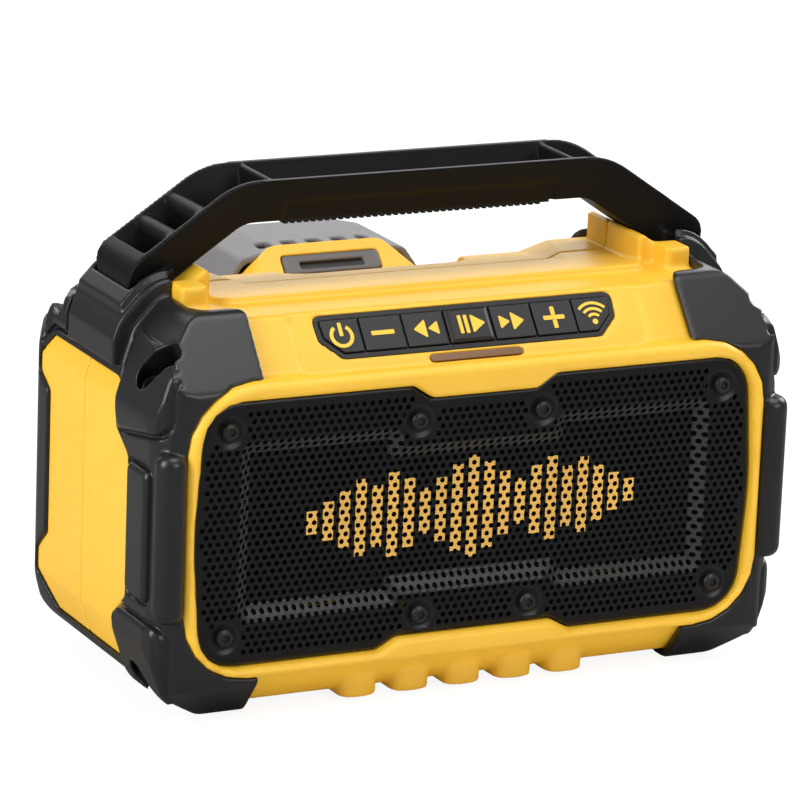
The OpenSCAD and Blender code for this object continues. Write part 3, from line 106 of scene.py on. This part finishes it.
def moulded(name, colour, rough, grain=1600, bump=0.12, drift=0.06, painted_edge_highlight=0.0, painted_band_sheen=0.0,
            metallic=0.0, spec=0.5):
    """A moulded or painted surface: slow colour drift, fine grain, painted highlights on edges and a
    painted sheen on slanted bands.
    """
    mat, tree, shader, coords = material(name)
    dark = tuple(c * (1 - drift) for c in colour)
    light = tuple(min(1, c * (1 + drift)) for c in colour)
    slow = span(tree, noise(tree, coords, DRIFT_SCALE, DRIFT_DETAIL), 0, 1)
    tint = blend_colours(tree, slow, dark, light)
    # Painted highlight: edges turn lighter by pointiness
    if painted_edge_highlight:
        geometry = tree.nodes.new("ShaderNodeNewGeometry")
        rim = span(tree, geometry.outputs["Pointiness"], 0, painted_edge_highlight, *HIGHLIGHT_SPAN)
        tint = blend_colours(tree, rim, tint, tuple(min(1, c * HIGHLIGHT_GAIN + HIGHLIGHT_LIFT) for c in colour))
    # Painted sheen: a lighter colour on surfaces slanted between facing forwards and facing sideways
    if painted_band_sheen:
        axes = tree.nodes.new("ShaderNodeSeparateXYZ")
        tree.links.new(coords.node.outputs["Normal"], axes.inputs[0])
        facing = axes.outputs["Y"]
        into = span(tree, facing, 0, 1, *SHEEN_BAND_IN)
        out_of = span(tree, facing, 1, 0, *SHEEN_BAND_OUT)
        both = tree.nodes.new("ShaderNodeMath")
        both.operation = "MULTIPLY"
        tree.links.new(into, both.inputs[0])
        tree.links.new(out_of, both.inputs[1])
        tint = blend_colours(tree, both.outputs[0], tint, (painted_band_sheen, painted_band_sheen, painted_band_sheen))
    tree.links.new(tint, shader.inputs["Base Color"])
    fine = noise(tree, coords, grain, GRAIN_DETAIL, GRAIN_ROUGHNESS)
    gloss = span(tree, fine, rough - GLOSS_SPREAD, rough + GLOSS_SPREAD)
    tree.links.new(gloss, shader.inputs["Roughness"])
    node = tree.nodes.new("ShaderNodeBump")
    node.inputs["Strength"].default_value = bump
    node.inputs["Distance"].default_value = GRAIN_DEPTH
    tree.links.new(fine, node.inputs["Height"])
    tree.links.new(node.outputs["Normal"], shader.inputs["Normal"])
    shader.inputs["Metallic"].default_value = metallic
    shader.inputs["Specular IOR Level"].default_value = spec
    return mat


# Some finishes carry painted highlights on their edges, and the grille a painted sheen on its slanted
# bands
FINISHES = {
    "yellow_plastic": dict(colour=(0.86, 0.495, 0.032), rough=0.42, drift=0.03),
    "bumper_rubber": dict(colour=(0.009, 0.009, 0.0098), rough=0.33, painted_edge_highlight=0.35),
    "handle_plastic": dict(colour=(0.008, 0.008, 0.0085), rough=0.36, painted_edge_highlight=0.5, spec=0.06),
    "soft_rubber": dict(colour=(0.008, 0.008, 0.0085), rough=0.6, spec=0.25),
    "grille_steel": dict(colour=(0.004, 0.004, 0.0045), rough=0.32, grain=2500, bump=0.05,
                         painted_band_sheen=0.032, spec=0.3),
    "screw_steel": dict(colour=(0.03, 0.03, 0.031), rough=0.36, metallic=0.6),
    "key_plastic": dict(colour=(0.015, 0.015, 0.016), rough=0.42, painted_edge_highlight=0.2, spec=0.35),
    "lens_plastic": dict(colour=(0.18, 0.09, 0.04), rough=0.25, bump=0.02),
    "circuit_board": dict(colour=(0.02, 0.12, 0.05), rough=0.35),
    "black_plastic": dict(colour=(0.006, 0.006, 0.0065), rough=0.5, spec=0.25),
    "bare_metal": dict(colour=(0.55, 0.55, 0.57), rough=0.38, metallic=1.0),
    "contact_metal": dict(colour=(0.7, 0.58, 0.3), rough=0.3, metallic=1.0),
    "grey_plastic": dict(colour=(0.16, 0.155, 0.16), rough=0.5, drift=0.04),
    "paint": dict(colour=(0.72, 0.4, 0.07), rough=0.5, drift=0.1),
    "print": dict(colour=(0.9, 0.55, 0.04), rough=0.45),
}
mats = {name: moulded(name, **finish) for name, finish in FINISHES.items()}
for part in frame["record"]["subparts"]:
    node = nodes[part["node"]]
    node.data.materials.clear()
    node.data.materials.append(mats[part["material_slot"]])


# The release button, with painted shade in its finger slot

# The button's face rises over a run, both in mm
BUTTON_RISE, BUTTON_RUN = 12, 11.5
BUTTON_LEAN = math.atan2(BUTTON_RISE, BUTTON_RUN)
SLOT_DEPTH = 0.0016
BUTTON_FINISH = dict(colour=(0.1, 0.094, 0.094), rough=0.45, drift=0.04)
# Colour of the painted shade in the finger slot
SLOT_SHADE_COLOUR = (0.012, 0.011, 0.011)


def button_material(button):
    """A moulded surface that is painted dark below the button's outer face, which leans back: painted
    shade in the finger slot.
    """
    mat = moulded("button_plastic", **BUTTON_FINISH)
    tree = mat.node_tree
    shader = tree.nodes["Principled BSDF"]
    out = (0, -math.sin(BUTTON_LEAN), math.cos(BUTTON_LEAN))
    top = max(Vector(out).dot(v.co) for v in button.data.vertices)
    level = tree.nodes.new("ShaderNodeVectorMath")
    level.operation = "DOT_PRODUCT"
    level.inputs[1].default_value = out
    tree.links.new(tree.nodes.new("ShaderNodeTexCoord").outputs["Object"], level.inputs[0])
    low = span(tree, level.outputs["Value"], 1, 0, top - SLOT_DEPTH, top - SLOT_DEPTH / 2)
    tint = shader.inputs["Base Color"].links[0].from_socket
    tree.links.new(blend_colours(tree, low, tint, SLOT_SHADE_COLOUR), shader.inputs["Base Color"])
    return mat


button_mats = nodes["pack_button"].data.materials
button_mats.clear()
button_mats.append(button_material(nodes["pack_button"]))


# Softened edges on the mouldings

WELD = 0.00002
FLAT_ANGLE = math.radians(0.5)
SMOOTH_FACTOR = 0.5
# Voxel size in metres, rounds of smoothing and the share of faces kept
SOFTENED = {
    "left_bumper": (0.0005, 22, 0.2),
    "right_bumper": (0.0005, 22, 0.2),
    "handle": (0.0006, 14, 0.25),
    "front_housing": (0.0009, 6, 0.2),
    "rear_housing": (0.0007, 3, 0.15),
    "pack_shell": (0.0005, 3, 0.15),
    "pack_base": (0.0007, 4, 0.25),
    "pack_button": (0.0003, 20, 0.3),
    "keypad_base": (0.00025, 2, 0.3),
}


def soften(name, voxel, rounds, keep):
    obj = nodes[name]
    weld = obj.modifiers.new("weld", "WELD")
    weld.merge_threshold = WELD
    remesh = obj.modifiers.new("remesh", "REMESH")
    remesh.mode = "VOXEL"
    remesh.voxel_size = voxel
    remesh.use_smooth_shade = True
    smooth = obj.modifiers.new("smooth", "SMOOTH")
    smooth.factor = SMOOTH_FACTOR
    smooth.iterations = rounds
    thin = obj.modifiers.new("thin", "DECIMATE")
    thin.ratio = keep
    normals = obj.modifiers.new("normals", "WEIGHTED_NORMAL")
    normals.keep_sharp = False


def ease(name, width, segments=3, angle=28):
    obj = nodes[name]
    weld = obj.modifiers.new("weld", "WELD")
    weld.merge_threshold = WELD
    flat = obj.modifiers.new("flat", "DECIMATE")
    flat.decimate_type = "DISSOLVE"
    flat.angle_limit = FLAT_ANGLE
    bevel = obj.modifiers.new("bevel", "BEVEL")
    bevel.width = width
    bevel.segments = segments
    bevel.limit_method = "ANGLE"
    bevel.angle_limit = math.radians(angle)
    bevel.use_clamp_overlap = False
    bevel.harden_normals = False
    normals = obj.modifiers.new("normals", "WEIGHTED_NORMAL")
    normals.keep_sharp = False
    for p in obj.data.polygons:
        p.use_smooth = True


for name, values in SOFTENED.items():
    soften(name, *values)


# Plane outlines

def fillet(points, step=math.radians(9)):
    """Points (x, z, radius) to a closed line with rounded corners."""
    line = []
    for i, (x, z, r) in enumerate(points):
        p = Vector((x, z))
        a = (Vector(points[i - 1][:2]) - p).normalized()
        b = (Vector(points[(i + 1) % len(points)][:2]) - p).normalized()
        corner = a.angle(b)
        if r <= 0 or corner > math.pi - 1e-3:
            line.append(p)
            continue
        reach = r / math.tan(corner / 2)
        centre = p + (a + b).normalized() * (r / math.sin(corner / 2))
        s, e = p + a * reach - centre, p + b * reach - centre
        a0 = math.atan2(s.y, s.x)
        turn = (math.atan2(e.y, e.x) - a0 + math.pi) % (2 * math.pi) - math.pi
        count = max(2, int(abs(turn) / step) + 1)
        line += [centre + r * Vector((math.cos(a0 + turn * k / count), math.sin(a0 + turn * k / count)))
                 for k in range(count + 1)]
    return [p for i, p in enumerate(line) if (p - line[i - 1]).length > 1e-4]


def mirrored(half):
    return half + [(-x, z, r) for x, z, r in reversed(half)]


def shrink(line, d):
    """A closed anticlockwise line moved inwards by d."""
    out = []
    for i, p in enumerate(line):
        a, b = (p - line[i - 1]).normalized(), (line[(i + 1) % len(line)] - p).normalized()
        t = (a + b).normalized()
        out.append(p + Vector((-t.y, t.x)) * d / max(0.5, t.dot(a)))
    return out


def inside(points, line):
    """Which of the points lie in a closed line."""
    x, z = points[:, 0], points[:, 1]
    hit = np.zeros(len(points), bool)
    for i, p in enumerate(line):
        q = line[i - 1]
        crosses = (p.y > z) != (q.y > z)
        if abs(q.y - p.y) > 1e-12:
            hit ^= crosses & (x < (q.x - p.x) * (z - p.y) / (q.y - p.y) + p.x)
    return hit


def mesh_object(name, verts, faces, materials, face_mats=None, angle=35):
    mesh = bpy.data.meshes.new(name)
    mesh.from_pydata([tuple(v) for v in verts], [], [tuple(f) for f in faces])
    for m in materials:
        mesh.materials.append(m)
    if face_mats is not None:
        mesh.polygons.foreach_set("material_index", np.asarray(face_mats, np.int32))
    mesh.polygons.foreach_set("use_smooth", np.ones(len(mesh.polygons), bool))
    bm = bmesh.new()
    bm.from_mesh(mesh)
    bmesh.ops.recalc_face_normals(bm, faces=bm.faces)
    bm.to_mesh(mesh)
    bm.free()
    mesh.set_sharp_from_angle(angle=math.radians(angle))
    obj = bpy.data.objects.new(name, mesh)
    scene.collection.objects.link(obj)
    return obj


# Perforated grille

low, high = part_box("grille")
rim_y = low.y
GRILLE_Z = (low.z + high.z) / 2 / MM
Z0, Z1 = low.z / MM, high.z / MM
# Outline in mm: half width, bow of the sides, and the inner end, outer end and height of each edge's step
HALF_W, BOW, BOW_R, CORNER_R = 117.2, 3.8, 150, 15
LOW_IN, LOW_OUT, LOW_STEP = 33, 41, 4.5
HIGH_IN, HIGH_OUT, HIGH_STEP = 22.2, 30.2, 5.2
IN_R, OUT_R = 2, 3
# Sheet, its flange and rounded rim, and the depth and run of the slanted band round the recess
SHEET, FLANGE, DEEP, SLANT = 1.2, 4.0, 5.0, 5.0
RIM_INSETS, RIM_DROPS = (0.45, 1.2), (0.55, 0.12)
# Recess: two wings and a middle block with rounded corners, blended where they meet and bent at the edges
BLOCK_R, BLEND, BEND = 5.0, 3.0, 0.9
RECESS_X, WING_X, MIDDLE_X = 98.5, 32, 44
WING_LOW, WING_HIGH, MIDDLE_LOW, MIDDLE_HIGH = 16.3, 15.7, 20.8, 23.2
# Perforation, looked up in square cells
PITCH, HOLE_R, HOLE_SIDES = 3.3, 1.02, 12
HOLE_ROWS, HOLE_COLS, HOLE_RIM = 18, 37, 2.7
HOLE_CELL, HOLE_SHARE = 4, 0.95
# Screws, each in a shallow dish
SCREW_X, SCREW_RISE = 103.4, 39.6
TOP_SCREW_X, TOP_SCREW_IN = 26, 13.6
LOW_SCREW_X, LOW_SCREW_IN = 23, 11.5
DISH, DISH_R, DISH_RUN, DISH_SIDES = 1.0, 6.9, 2.4, 32
DISH_RINGS = (2.0, 3.2, 4.5, 5.3, 6.1, DISH_R)
BORE_R, SCREW_CLEAR = 2.0, 7.6
# Painted equaliser bars
BAR_W, BAR_PITCH = 4.4, 6.7
BAR_HEIGHTS = [9, 15, 22, 30, 24, 33, 27, 18, 25, 34, 40, 34, 25, 18, 27, 33, 24, 30, 22, 15, 9]

outline = fillet(mirrored([
    (LOW_IN, Z0 + LOW_STEP, IN_R), (LOW_OUT, Z0, OUT_R),
    (HALF_W - BOW, Z0, CORNER_R), (HALF_W, GRILLE_Z, BOW_R), (HALF_W - BOW, Z1, CORNER_R),
    (HIGH_OUT, Z1, OUT_R), (HIGH_IN, Z1 - HIGH_STEP, IN_R)]))
loops = [outline] + [shrink(outline, d) for d in RIM_INSETS]
screws = [(s * x, z) for s in (-1, 1) for x, z in (
    (SCREW_X, GRILLE_Z + SCREW_RISE), (SCREW_X, GRILLE_Z - SCREW_RISE),
    (TOP_SCREW_X, Z1 - TOP_SCREW_IN), (LOW_SCREW_X, Z0 + LOW_SCREW_IN))]
blocks = [(-RECESS_X, Z0 + WING_LOW, -WING_X, Z1 - WING_HIGH),
          (-MIDDLE_X, Z0 + MIDDLE_LOW, MIDDLE_X, Z1 - MIDDLE_HIGH),
          (WING_X, Z0 + WING_LOW, RECESS_X, Z1 - WING_HIGH)]


def ramp(s, e):
    return (s + np.sqrt(s * s + e * e)) / 2


def depth(p):
    """How far the sheet lies behind its rim, in mm."""
    x, z = p[:, 0], p[:, 1]
    best = None
    for x0, z0, x1, z1 in blocks:
        qx = np.abs(x - (x0 + x1) / 2) - ((x1 - x0) / 2 - BLOCK_R)
        qz = np.abs(z - (z0 + z1) / 2) - ((z1 - z0) / 2 - BLOCK_R)
        d = BLOCK_R - np.hypot(np.maximum(qx, 0), np.maximum(qz, 0)) - np.minimum(np.maximum(qx, qz), 0)
        if best is None:
            best = d
        else:
            h = np.maximum(BLEND - np.abs(best - d), 0) / BLEND
            best = np.maximum(best, d) + h * h * BLEND / 4
    y = (ramp(best, BEND) - ramp(best - SLANT, BEND)) * DEEP / SLANT
    for sx, sz in screws:
        t = np.clip((DISH_R - np.hypot(x - sx, z - sz)) / DISH_RUN, 0, 1)
        y = np.maximum(y, DISH * t * t * (3 - 2 * t))
    return y


def hole_places():
    """Middles of the holes, clear of the rim and of the screws."""
    row = PITCH * math.sqrt(3) / 2
    grid = np.array([((i + (j % 2) / 2) * PITCH, GRILLE_Z + j * row)
                     for j in range(-HOLE_ROWS, HOLE_ROWS + 1) for i in range(-HOLE_COLS, HOLE_COLS + 1)])
    ok = inside(grid, shrink(outline, HOLE_RIM))
    for sx, sz in screws:
        ok &= np.hypot(grid[:, 0] - sx, grid[:, 1] - sz) > SCREW_CLEAR
    return grid[ok]


def bar_places():
    """Corners x0, z0, x1, z1 of the painted bars."""
    middles = [(k - (len(BAR_HEIGHTS) - 1) / 2) * BAR_PITCH for k in range(len(BAR_HEIGHTS))]
    return [(x - BAR_W / 2, GRILLE_Z - t / 2, x + BAR_W / 2, GRILLE_Z + t / 2)
            for x, t in zip(middles, BAR_HEIGHTS)]


def ring(x, z, r, sides, start=0.0):
    turn = [2 * math.pi * (k + start) / sides for k in range(sides)]
    return [(x + r * math.cos(a), z + r * math.sin(a)) for a in turn]


def flat_triangles(holes, bars):
    """The sheet's plan, cut along its lines: points, triangles and the triangles' middles."""
    points, edges = [], []
    lines = list(loops)
    lines += [ring(x, z, HOLE_R, HOLE_SIDES, 0.5) for x, z in holes]
    lines += [ring(x, z, r, DISH_SIDES) for x, z in screws for r in DISH_RINGS]
    lines += [[(x0, z0), (x1, z0), (x1, z1), (x0, z1)] for x0, z0, x1, z1 in bars]
    for line in lines:
        k = len(points)
        points.extend(Vector(p) for p in line)
        edges.extend((k + i, k + (i + 1) % len(line)) for i in range(len(line)))
    verts, _, faces, _, _, _ = delaunay_2d_cdt(points, edges, [], 0, 1e-5, False)
    flat = np.array([tuple(v) for v in verts])
    tris = np.array([f for f in faces if len(f) == 3])
    return flat, tris, flat[tris].mean(1)


def on_sheet(mid, holes):
    """Which triangles are metal: inside the rim, and outside the holes and the screws' bores."""
    keep = inside(mid, outline)
    cells = {}
    for x, z in holes:
        cells.setdefault((int(x // HOLE_CELL), int(z // HOLE_CELL)), []).append((x, z))
    for t in np.nonzero(keep)[0]:
        x, z = mid[t]
        cx, cz = int(x // HOLE_CELL), int(z // HOLE_CELL)
        near = [h for i in (-1, 0, 1) for j in (-1, 0, 1) for h in cells.get((cx + i, cz + j), ())]
        keep[t] = all(math.hypot(x - hx, z - hz) >= HOLE_R * HOLE_SHARE for hx, hz in near)
    for sx, sz in screws:
        keep &= np.hypot(mid[:, 0] - sx, mid[:, 1] - sz) > BORE_R
    return keep


def open_edges(tris, rim):
    """Edges that only one triangle has, apart from those along the rim."""
    count = {}
    for t in tris:
        for a, b in ((t[0], t[1]), (t[1], t[2]), (t[2], t[0])):
            key = (int(min(a, b)), int(max(a, b)))
            count[key] = count.get(key, 0) + 1
    return [(a, b) for (a, b), c in count.items() if c == 1 and not (a in rim and b in rim)]


def build_grille():
    holes, bars = hole_places(), bar_places()
    flat, tris, mid = flat_triangles(holes, bars)
    keep = on_sheet(mid, holes)
    tris, mid = tris[keep], mid[keep]
    painted = np.zeros(len(tris), bool)
    for x0, z0, x1, z1 in bars:
        painted |= (mid[:, 0] > x0) & (mid[:, 0] < x1) & (mid[:, 1] > z0) & (mid[:, 1] < z1)
    index = {(round(v[0], 4), round(v[1], 4)): k for k, v in enumerate(flat)}
    rim = [[index[(round(p[0], 4), round(p[1], 4))] for p in line] for line in loops]
    rear = depth(flat)
    front = rear.copy()
    for line, drop in zip(rim, RIM_DROPS):
        front[line] += drop
    points = [(x, y, z) for (x, z), y in zip(flat, front)]
    points += [(x, y + SHEET, z) for (x, z), y in zip(flat, rear)]
    n = len(flat)
    inner = inside(mid, loops[2])
    walls = open_edges(tris[inner], set(rim[2]))
    faces = [tuple(t) for t in tris] + [tuple(int(v) + n for v in t[::-1]) for t in tris[inner]]
    faces += [(a, b, b + n, a + n) for a, b in walls]
    face_mats = [int(p) for p in painted] + [0] * (int(inner.sum()) + len(walls))
    k, size = len(points), len(outline)
    points += [(flat[v][0], FLANGE, flat[v][1]) for line in (rim[0], rim[2]) for v in line]
    for i in range(size):
        j = (i + 1) % size
        faces += [(rim[0][i], rim[0][j], k + j, k + i),
                  (k + i, k + j, k + size + j, k + size + i),
                  (k + size + i, k + size + j, rim[2][j] + n, rim[2][i] + n)]
        face_mats += [0, 0, 0]
    used = sorted({v for f in faces for v in f})
    new = {v: i for i, v in enumerate(used)}
    verts = [(points[v][0] * MM, rim_y + points[v][1] * MM, points[v][2] * MM) for v in used]
    return mesh_object("grille_sheet", verts, [[new[v] for v in f] for f in faces],
                       [mats["grille_steel"], mats["paint"]], face_mats)


grille = build_grille()
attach(grille, "body")
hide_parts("grille")


# Pan-head screws with a six-lobed recess

HEAD_R, HEAD_TALL, SHANK_R, SHANK_LONG = 3.5, 2.1, 1.5, 6.0
HEAD_SIDES, HEAD_TURN = 48, 0.37
LOBES, LOBE_SWELL, SOCKET_DEEP = 6, 0.16, 1.0


def pan_screw(verts, faces, place, turn, r, tall, shank):
    """A screw head that faces -Y at place, in mm."""
    sides = HEAD_SIDES
    rings = [(shank, SHANK_LONG), (shank, 0.0), (r, 0.0), (r, -tall * 0.35), (r * 0.93, -tall * 0.7),
             (r * 0.74, -tall * 0.94), (r * 0.58, -tall)]
    lobes = [(0.42, -tall), (0.40, -tall + SOCKET_DEEP), (0.1, -tall + SOCKET_DEEP * 1.15)]
    base = len(verts)
    for rr, y in rings:
        for k in range(sides):
            a = 2 * math.pi * k / sides + turn
            verts.append((place[0] + rr * math.cos(a), place[1] + y, place[2] + rr * math.sin(a)))
    for share, y in lobes:
        for k in range(sides):
            a = 2 * math.pi * k / sides + turn
            rr = r * share * (1 + (LOBE_SWELL if share > 0.2 else 0) * math.cos(LOBES * (a - turn)))
            verts.append((place[0] + rr * math.cos(a), place[1] + y, place[2] + rr * math.sin(a)))
    total = len(rings) + len(lobes)
    for i in range(total - 1):
        for k in range(sides):
            j = (k + 1) % sides
            faces.append((base + i * sides + k, base + i * sides + j, base + (i + 1) * sides + j,
                          base + (i + 1) * sides + k))
    faces.append([base + k for k in range(sides)][::-1])
    faces.append([base + (total - 1) * sides + k for k in range(sides)])


verts, faces = [], []
for i, (sx, sz) in enumerate(screws):
    pan_screw(verts, faces, (sx, rim_y / MM + DISH, sz), HEAD_TURN * i, HEAD_R, HEAD_TALL, SHANK_R)
heads = mesh_object("grille_screw_heads", [Vector(v) * MM for v in verts], faces, [mats["screw_steel"]])
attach(heads, "body")
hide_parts("grille_screws")


# Key icons, on the plane of the control slope

SLOPE = math.radians(50)
UP = Vector((0, math.cos(SLOPE), math.sin(SLOPE)))
OUT = Vector((0, -math.sin(SLOPE), math.cos(SLOPE)))
# Scale of the signs, how far they reach below and above the key, and the radius of their corners, in mm
ICON, PRINT_LIFTS, SIGN_R = 1.25, (-0.15, 0.14), 0.3
WAVE_W, WAVES_Y = 0.9, -2.6
KEY_EASE, LENS_EASE, COVER_EASE = 0.00028, 0.0003, 0.0005


def arc(r0, r1, a0, a1, cx=0.0, cy=0.0, count=28):
    a = [math.radians(a0 + (a1 - a0) * k / count) for k in range(count + 1)]
    return [(cx + r1 * math.cos(t), cy + r1 * math.sin(t)) for t in a] + \
        [(cx + r0 * math.cos(t), cy + r0 * math.sin(t)) for t in reversed(a)]


def bar(x, y, w, h):
    return [tuple(p) for p in fillet([(x - w / 2, y - h / 2, SIGN_R), (x + w / 2, y - h / 2, SIGN_R),
                                      (x + w / 2, y + h / 2, SIGN_R), (x - w / 2, y + h / 2, SIGN_R)])]


def wedge(x, w, h):
    line = [(x, -h / 2, SIGN_R), (x + w, 0, SIGN_R), (x, h / 2, SIGN_R)]
    return [tuple(p) for p in fillet(line if w > 0 else line[::-1])]


waves = [arc(r, r + WAVE_W, 45, 135, 0, WAVES_Y) for r in (2.0, 3.9, 5.8)]
icons = {
    "key_power": [arc(2.75, 3.9, 125, 415), bar(0, 2.1, 1.2, 4.4)],
    "key_volume_down": [bar(0, 0, 7.6, 1.4)],
    "key_back": [wedge(0.3, -4.2, 6.2), wedge(4.4, -3.5, 4.6)],
    "key_play": [bar(-3.2, 0, 1.15, 6.0), bar(-1.2, 0, 1.15, 6.0), wedge(0.5, 4.6, 6.2)],
    "key_forward": [wedge(-0.3, 4.2, 6.2), wedge(-4.4, 3.5, 4.6)],
    "key_volume_up": [bar(0, 0, 7.2, 1.4), bar(0, 2.2, 1.4, 2.8), bar(0, -2.2, 1.4, 2.8)],
    "key_pairing": [arc(0, WAVE_W, 0, 360, 0, WAVES_Y)] + waves,
}
for name, shapes in icons.items():
    co = np.array([v.co for v in nodes[name].data.vertices])
    w = co @ np.array(OUT)
    top = co[w > w.max() - 1e-5]
    centre = Vector((top.max(0) + top.min(0)) / 2)
    verts, faces = [], []
    for shape in shapes:
        k, m = len(verts), len(shape)
        for lift in PRINT_LIFTS:
            face = centre + OUT * (lift * MM)
            verts += [face + (Vector((x, 0, 0)) + UP * y) * (ICON * MM) for x, y in shape]
        faces += [[k + m + i for i in range(m)], [k + i for i in reversed(range(m))]]
        faces += [(k + i, k + (i + 1) % m, k + m + (i + 1) % m, k + m + i) for i in range(m)]
    icon = mesh_object(name + "_icon", verts, faces, [mats["print"]])
    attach(icon, name)

for name in icons:
    ease(name, KEY_EASE)
ease("status_lens", LENS_EASE)
ease("socket_cover", COVER_EASE)


# Floor, light and camera

FLOOR = 8
PAPER_DARK, PAPER_LIGHT, PAPER_MIRRORED = (0.93, 0.93, 0.93), (0.95, 0.95, 0.95), (0.3, 0.3, 0.3)
PAPER_SCALE, PAPER_DETAIL = 60, 3
GLOW, GLOW_SHARE = 1.12, 0.8
WORLD_LIGHT = 0.22
CAMERA_PLACE = (-0.8235, -1.6516, 0.6062)

floor_mesh = bpy.data.meshes.new("floor")
corners = [(-FLOOR, -FLOOR, 0), (FLOOR, -FLOOR, 0), (FLOOR, FLOOR, 0), (-FLOOR, FLOOR, 0)]
floor_mesh.from_pydata(corners, [], [(0, 1, 2, 3)])
floor = bpy.data.objects.new("floor", floor_mesh)
scene.collection.objects.link(floor)
mat, tree, shader, coords = material("floor_paper")
tree.nodes.remove(shader)
diffuse = tree.nodes.new("ShaderNodeBsdfDiffuse")
glow = tree.nodes.new("ShaderNodeEmission")
mix = tree.nodes.new("ShaderNodeMixShader")
path = tree.nodes.new("ShaderNodeLightPath")
speck = blend_colours(tree, noise(tree, coords, PAPER_SCALE, PAPER_DETAIL), PAPER_DARK, PAPER_LIGHT)
seen = blend_colours(tree, path.outputs["Is Glossy Ray"], speck, PAPER_MIRRORED)
tree.links.new(seen, diffuse.inputs["Color"])
glow.inputs["Color"].default_value = (1, 1, 1, 1)
glow.inputs["Strength"].default_value = GLOW
share = tree.nodes.new("ShaderNodeMath")
share.operation = "MULTIPLY"
share.inputs[1].default_value = GLOW_SHARE
tree.links.new(path.outputs["Is Camera Ray"], share.inputs[0])
tree.links.new(share.outputs[0], mix.inputs["Fac"])
tree.links.new(diffuse.outputs[0], mix.inputs[1])
tree.links.new(glow.outputs[0], mix.inputs[2])
tree.links.new(mix.outputs[0], tree.nodes["Material Output"].inputs["Surface"])
floor_mesh.materials.append(mat)

world = bpy.data.worlds.new("studio")
scene.world = world
world.use_nodes = True
world.node_tree.nodes["Background"].inputs["Color"].default_value = (1, 1, 1, 1)
world.node_tree.nodes["Background"].inputs["Strength"].default_value = WORLD_LIGHT


def softbox(name, place, target, size, power):
    data = bpy.data.lights.new(name, "AREA")
    data.shape = "RECTANGLE"
    data.size, data.size_y = size
    data.energy = power
    lamp = bpy.data.objects.new(name, data)
    lamp.location = place
    lamp.rotation_euler = (Vector(target) - Vector(place)).to_track_quat("-Z", "Y").to_euler()
    scene.collection.objects.link(lamp)


softbox("top_box", (0.15, -0.4, 1.4), (0, 0, 0.1), (1.1, 0.8), 10)
softbox("left_box", (-1.5, -0.2, 0.8), (0, 0, 0.1), (0.7, 1.1), 21)
softbox("front_box", (0.5, -1.9, 0.9), (0, 0, 0.08), (1.2, 0.8), 12)
softbox("right_box", (1.15, 0.2, 0.8), (0, 0, 0.08), (0.6, 0.6), 10)
softbox("back_box", (0.4, 1.6, 0.85), (0, 0, 0.1), (1.8, 1.2), 13)

cam_data = bpy.data.cameras.new("camera")
cam_data.sensor_width = 36
cam_data.lens = 220.5
cam_data.clip_end = 50
camera = bpy.data.objects.new("camera", cam_data)
right, up, back = (0.89678, -0.44081, 0.03842), (0.08534, 0.25752, 0.96248), (-0.43417, -0.85986, 0.26856)
turn = Matrix((right, up, back)).transposed()
camera.matrix_world = Matrix.Translation(CAMERA_PLACE) @ turn.to_4x4()
scene.collection.objects.link(camera)
scene.camera = camera
scene.view_settings.view_transform = "Standard"
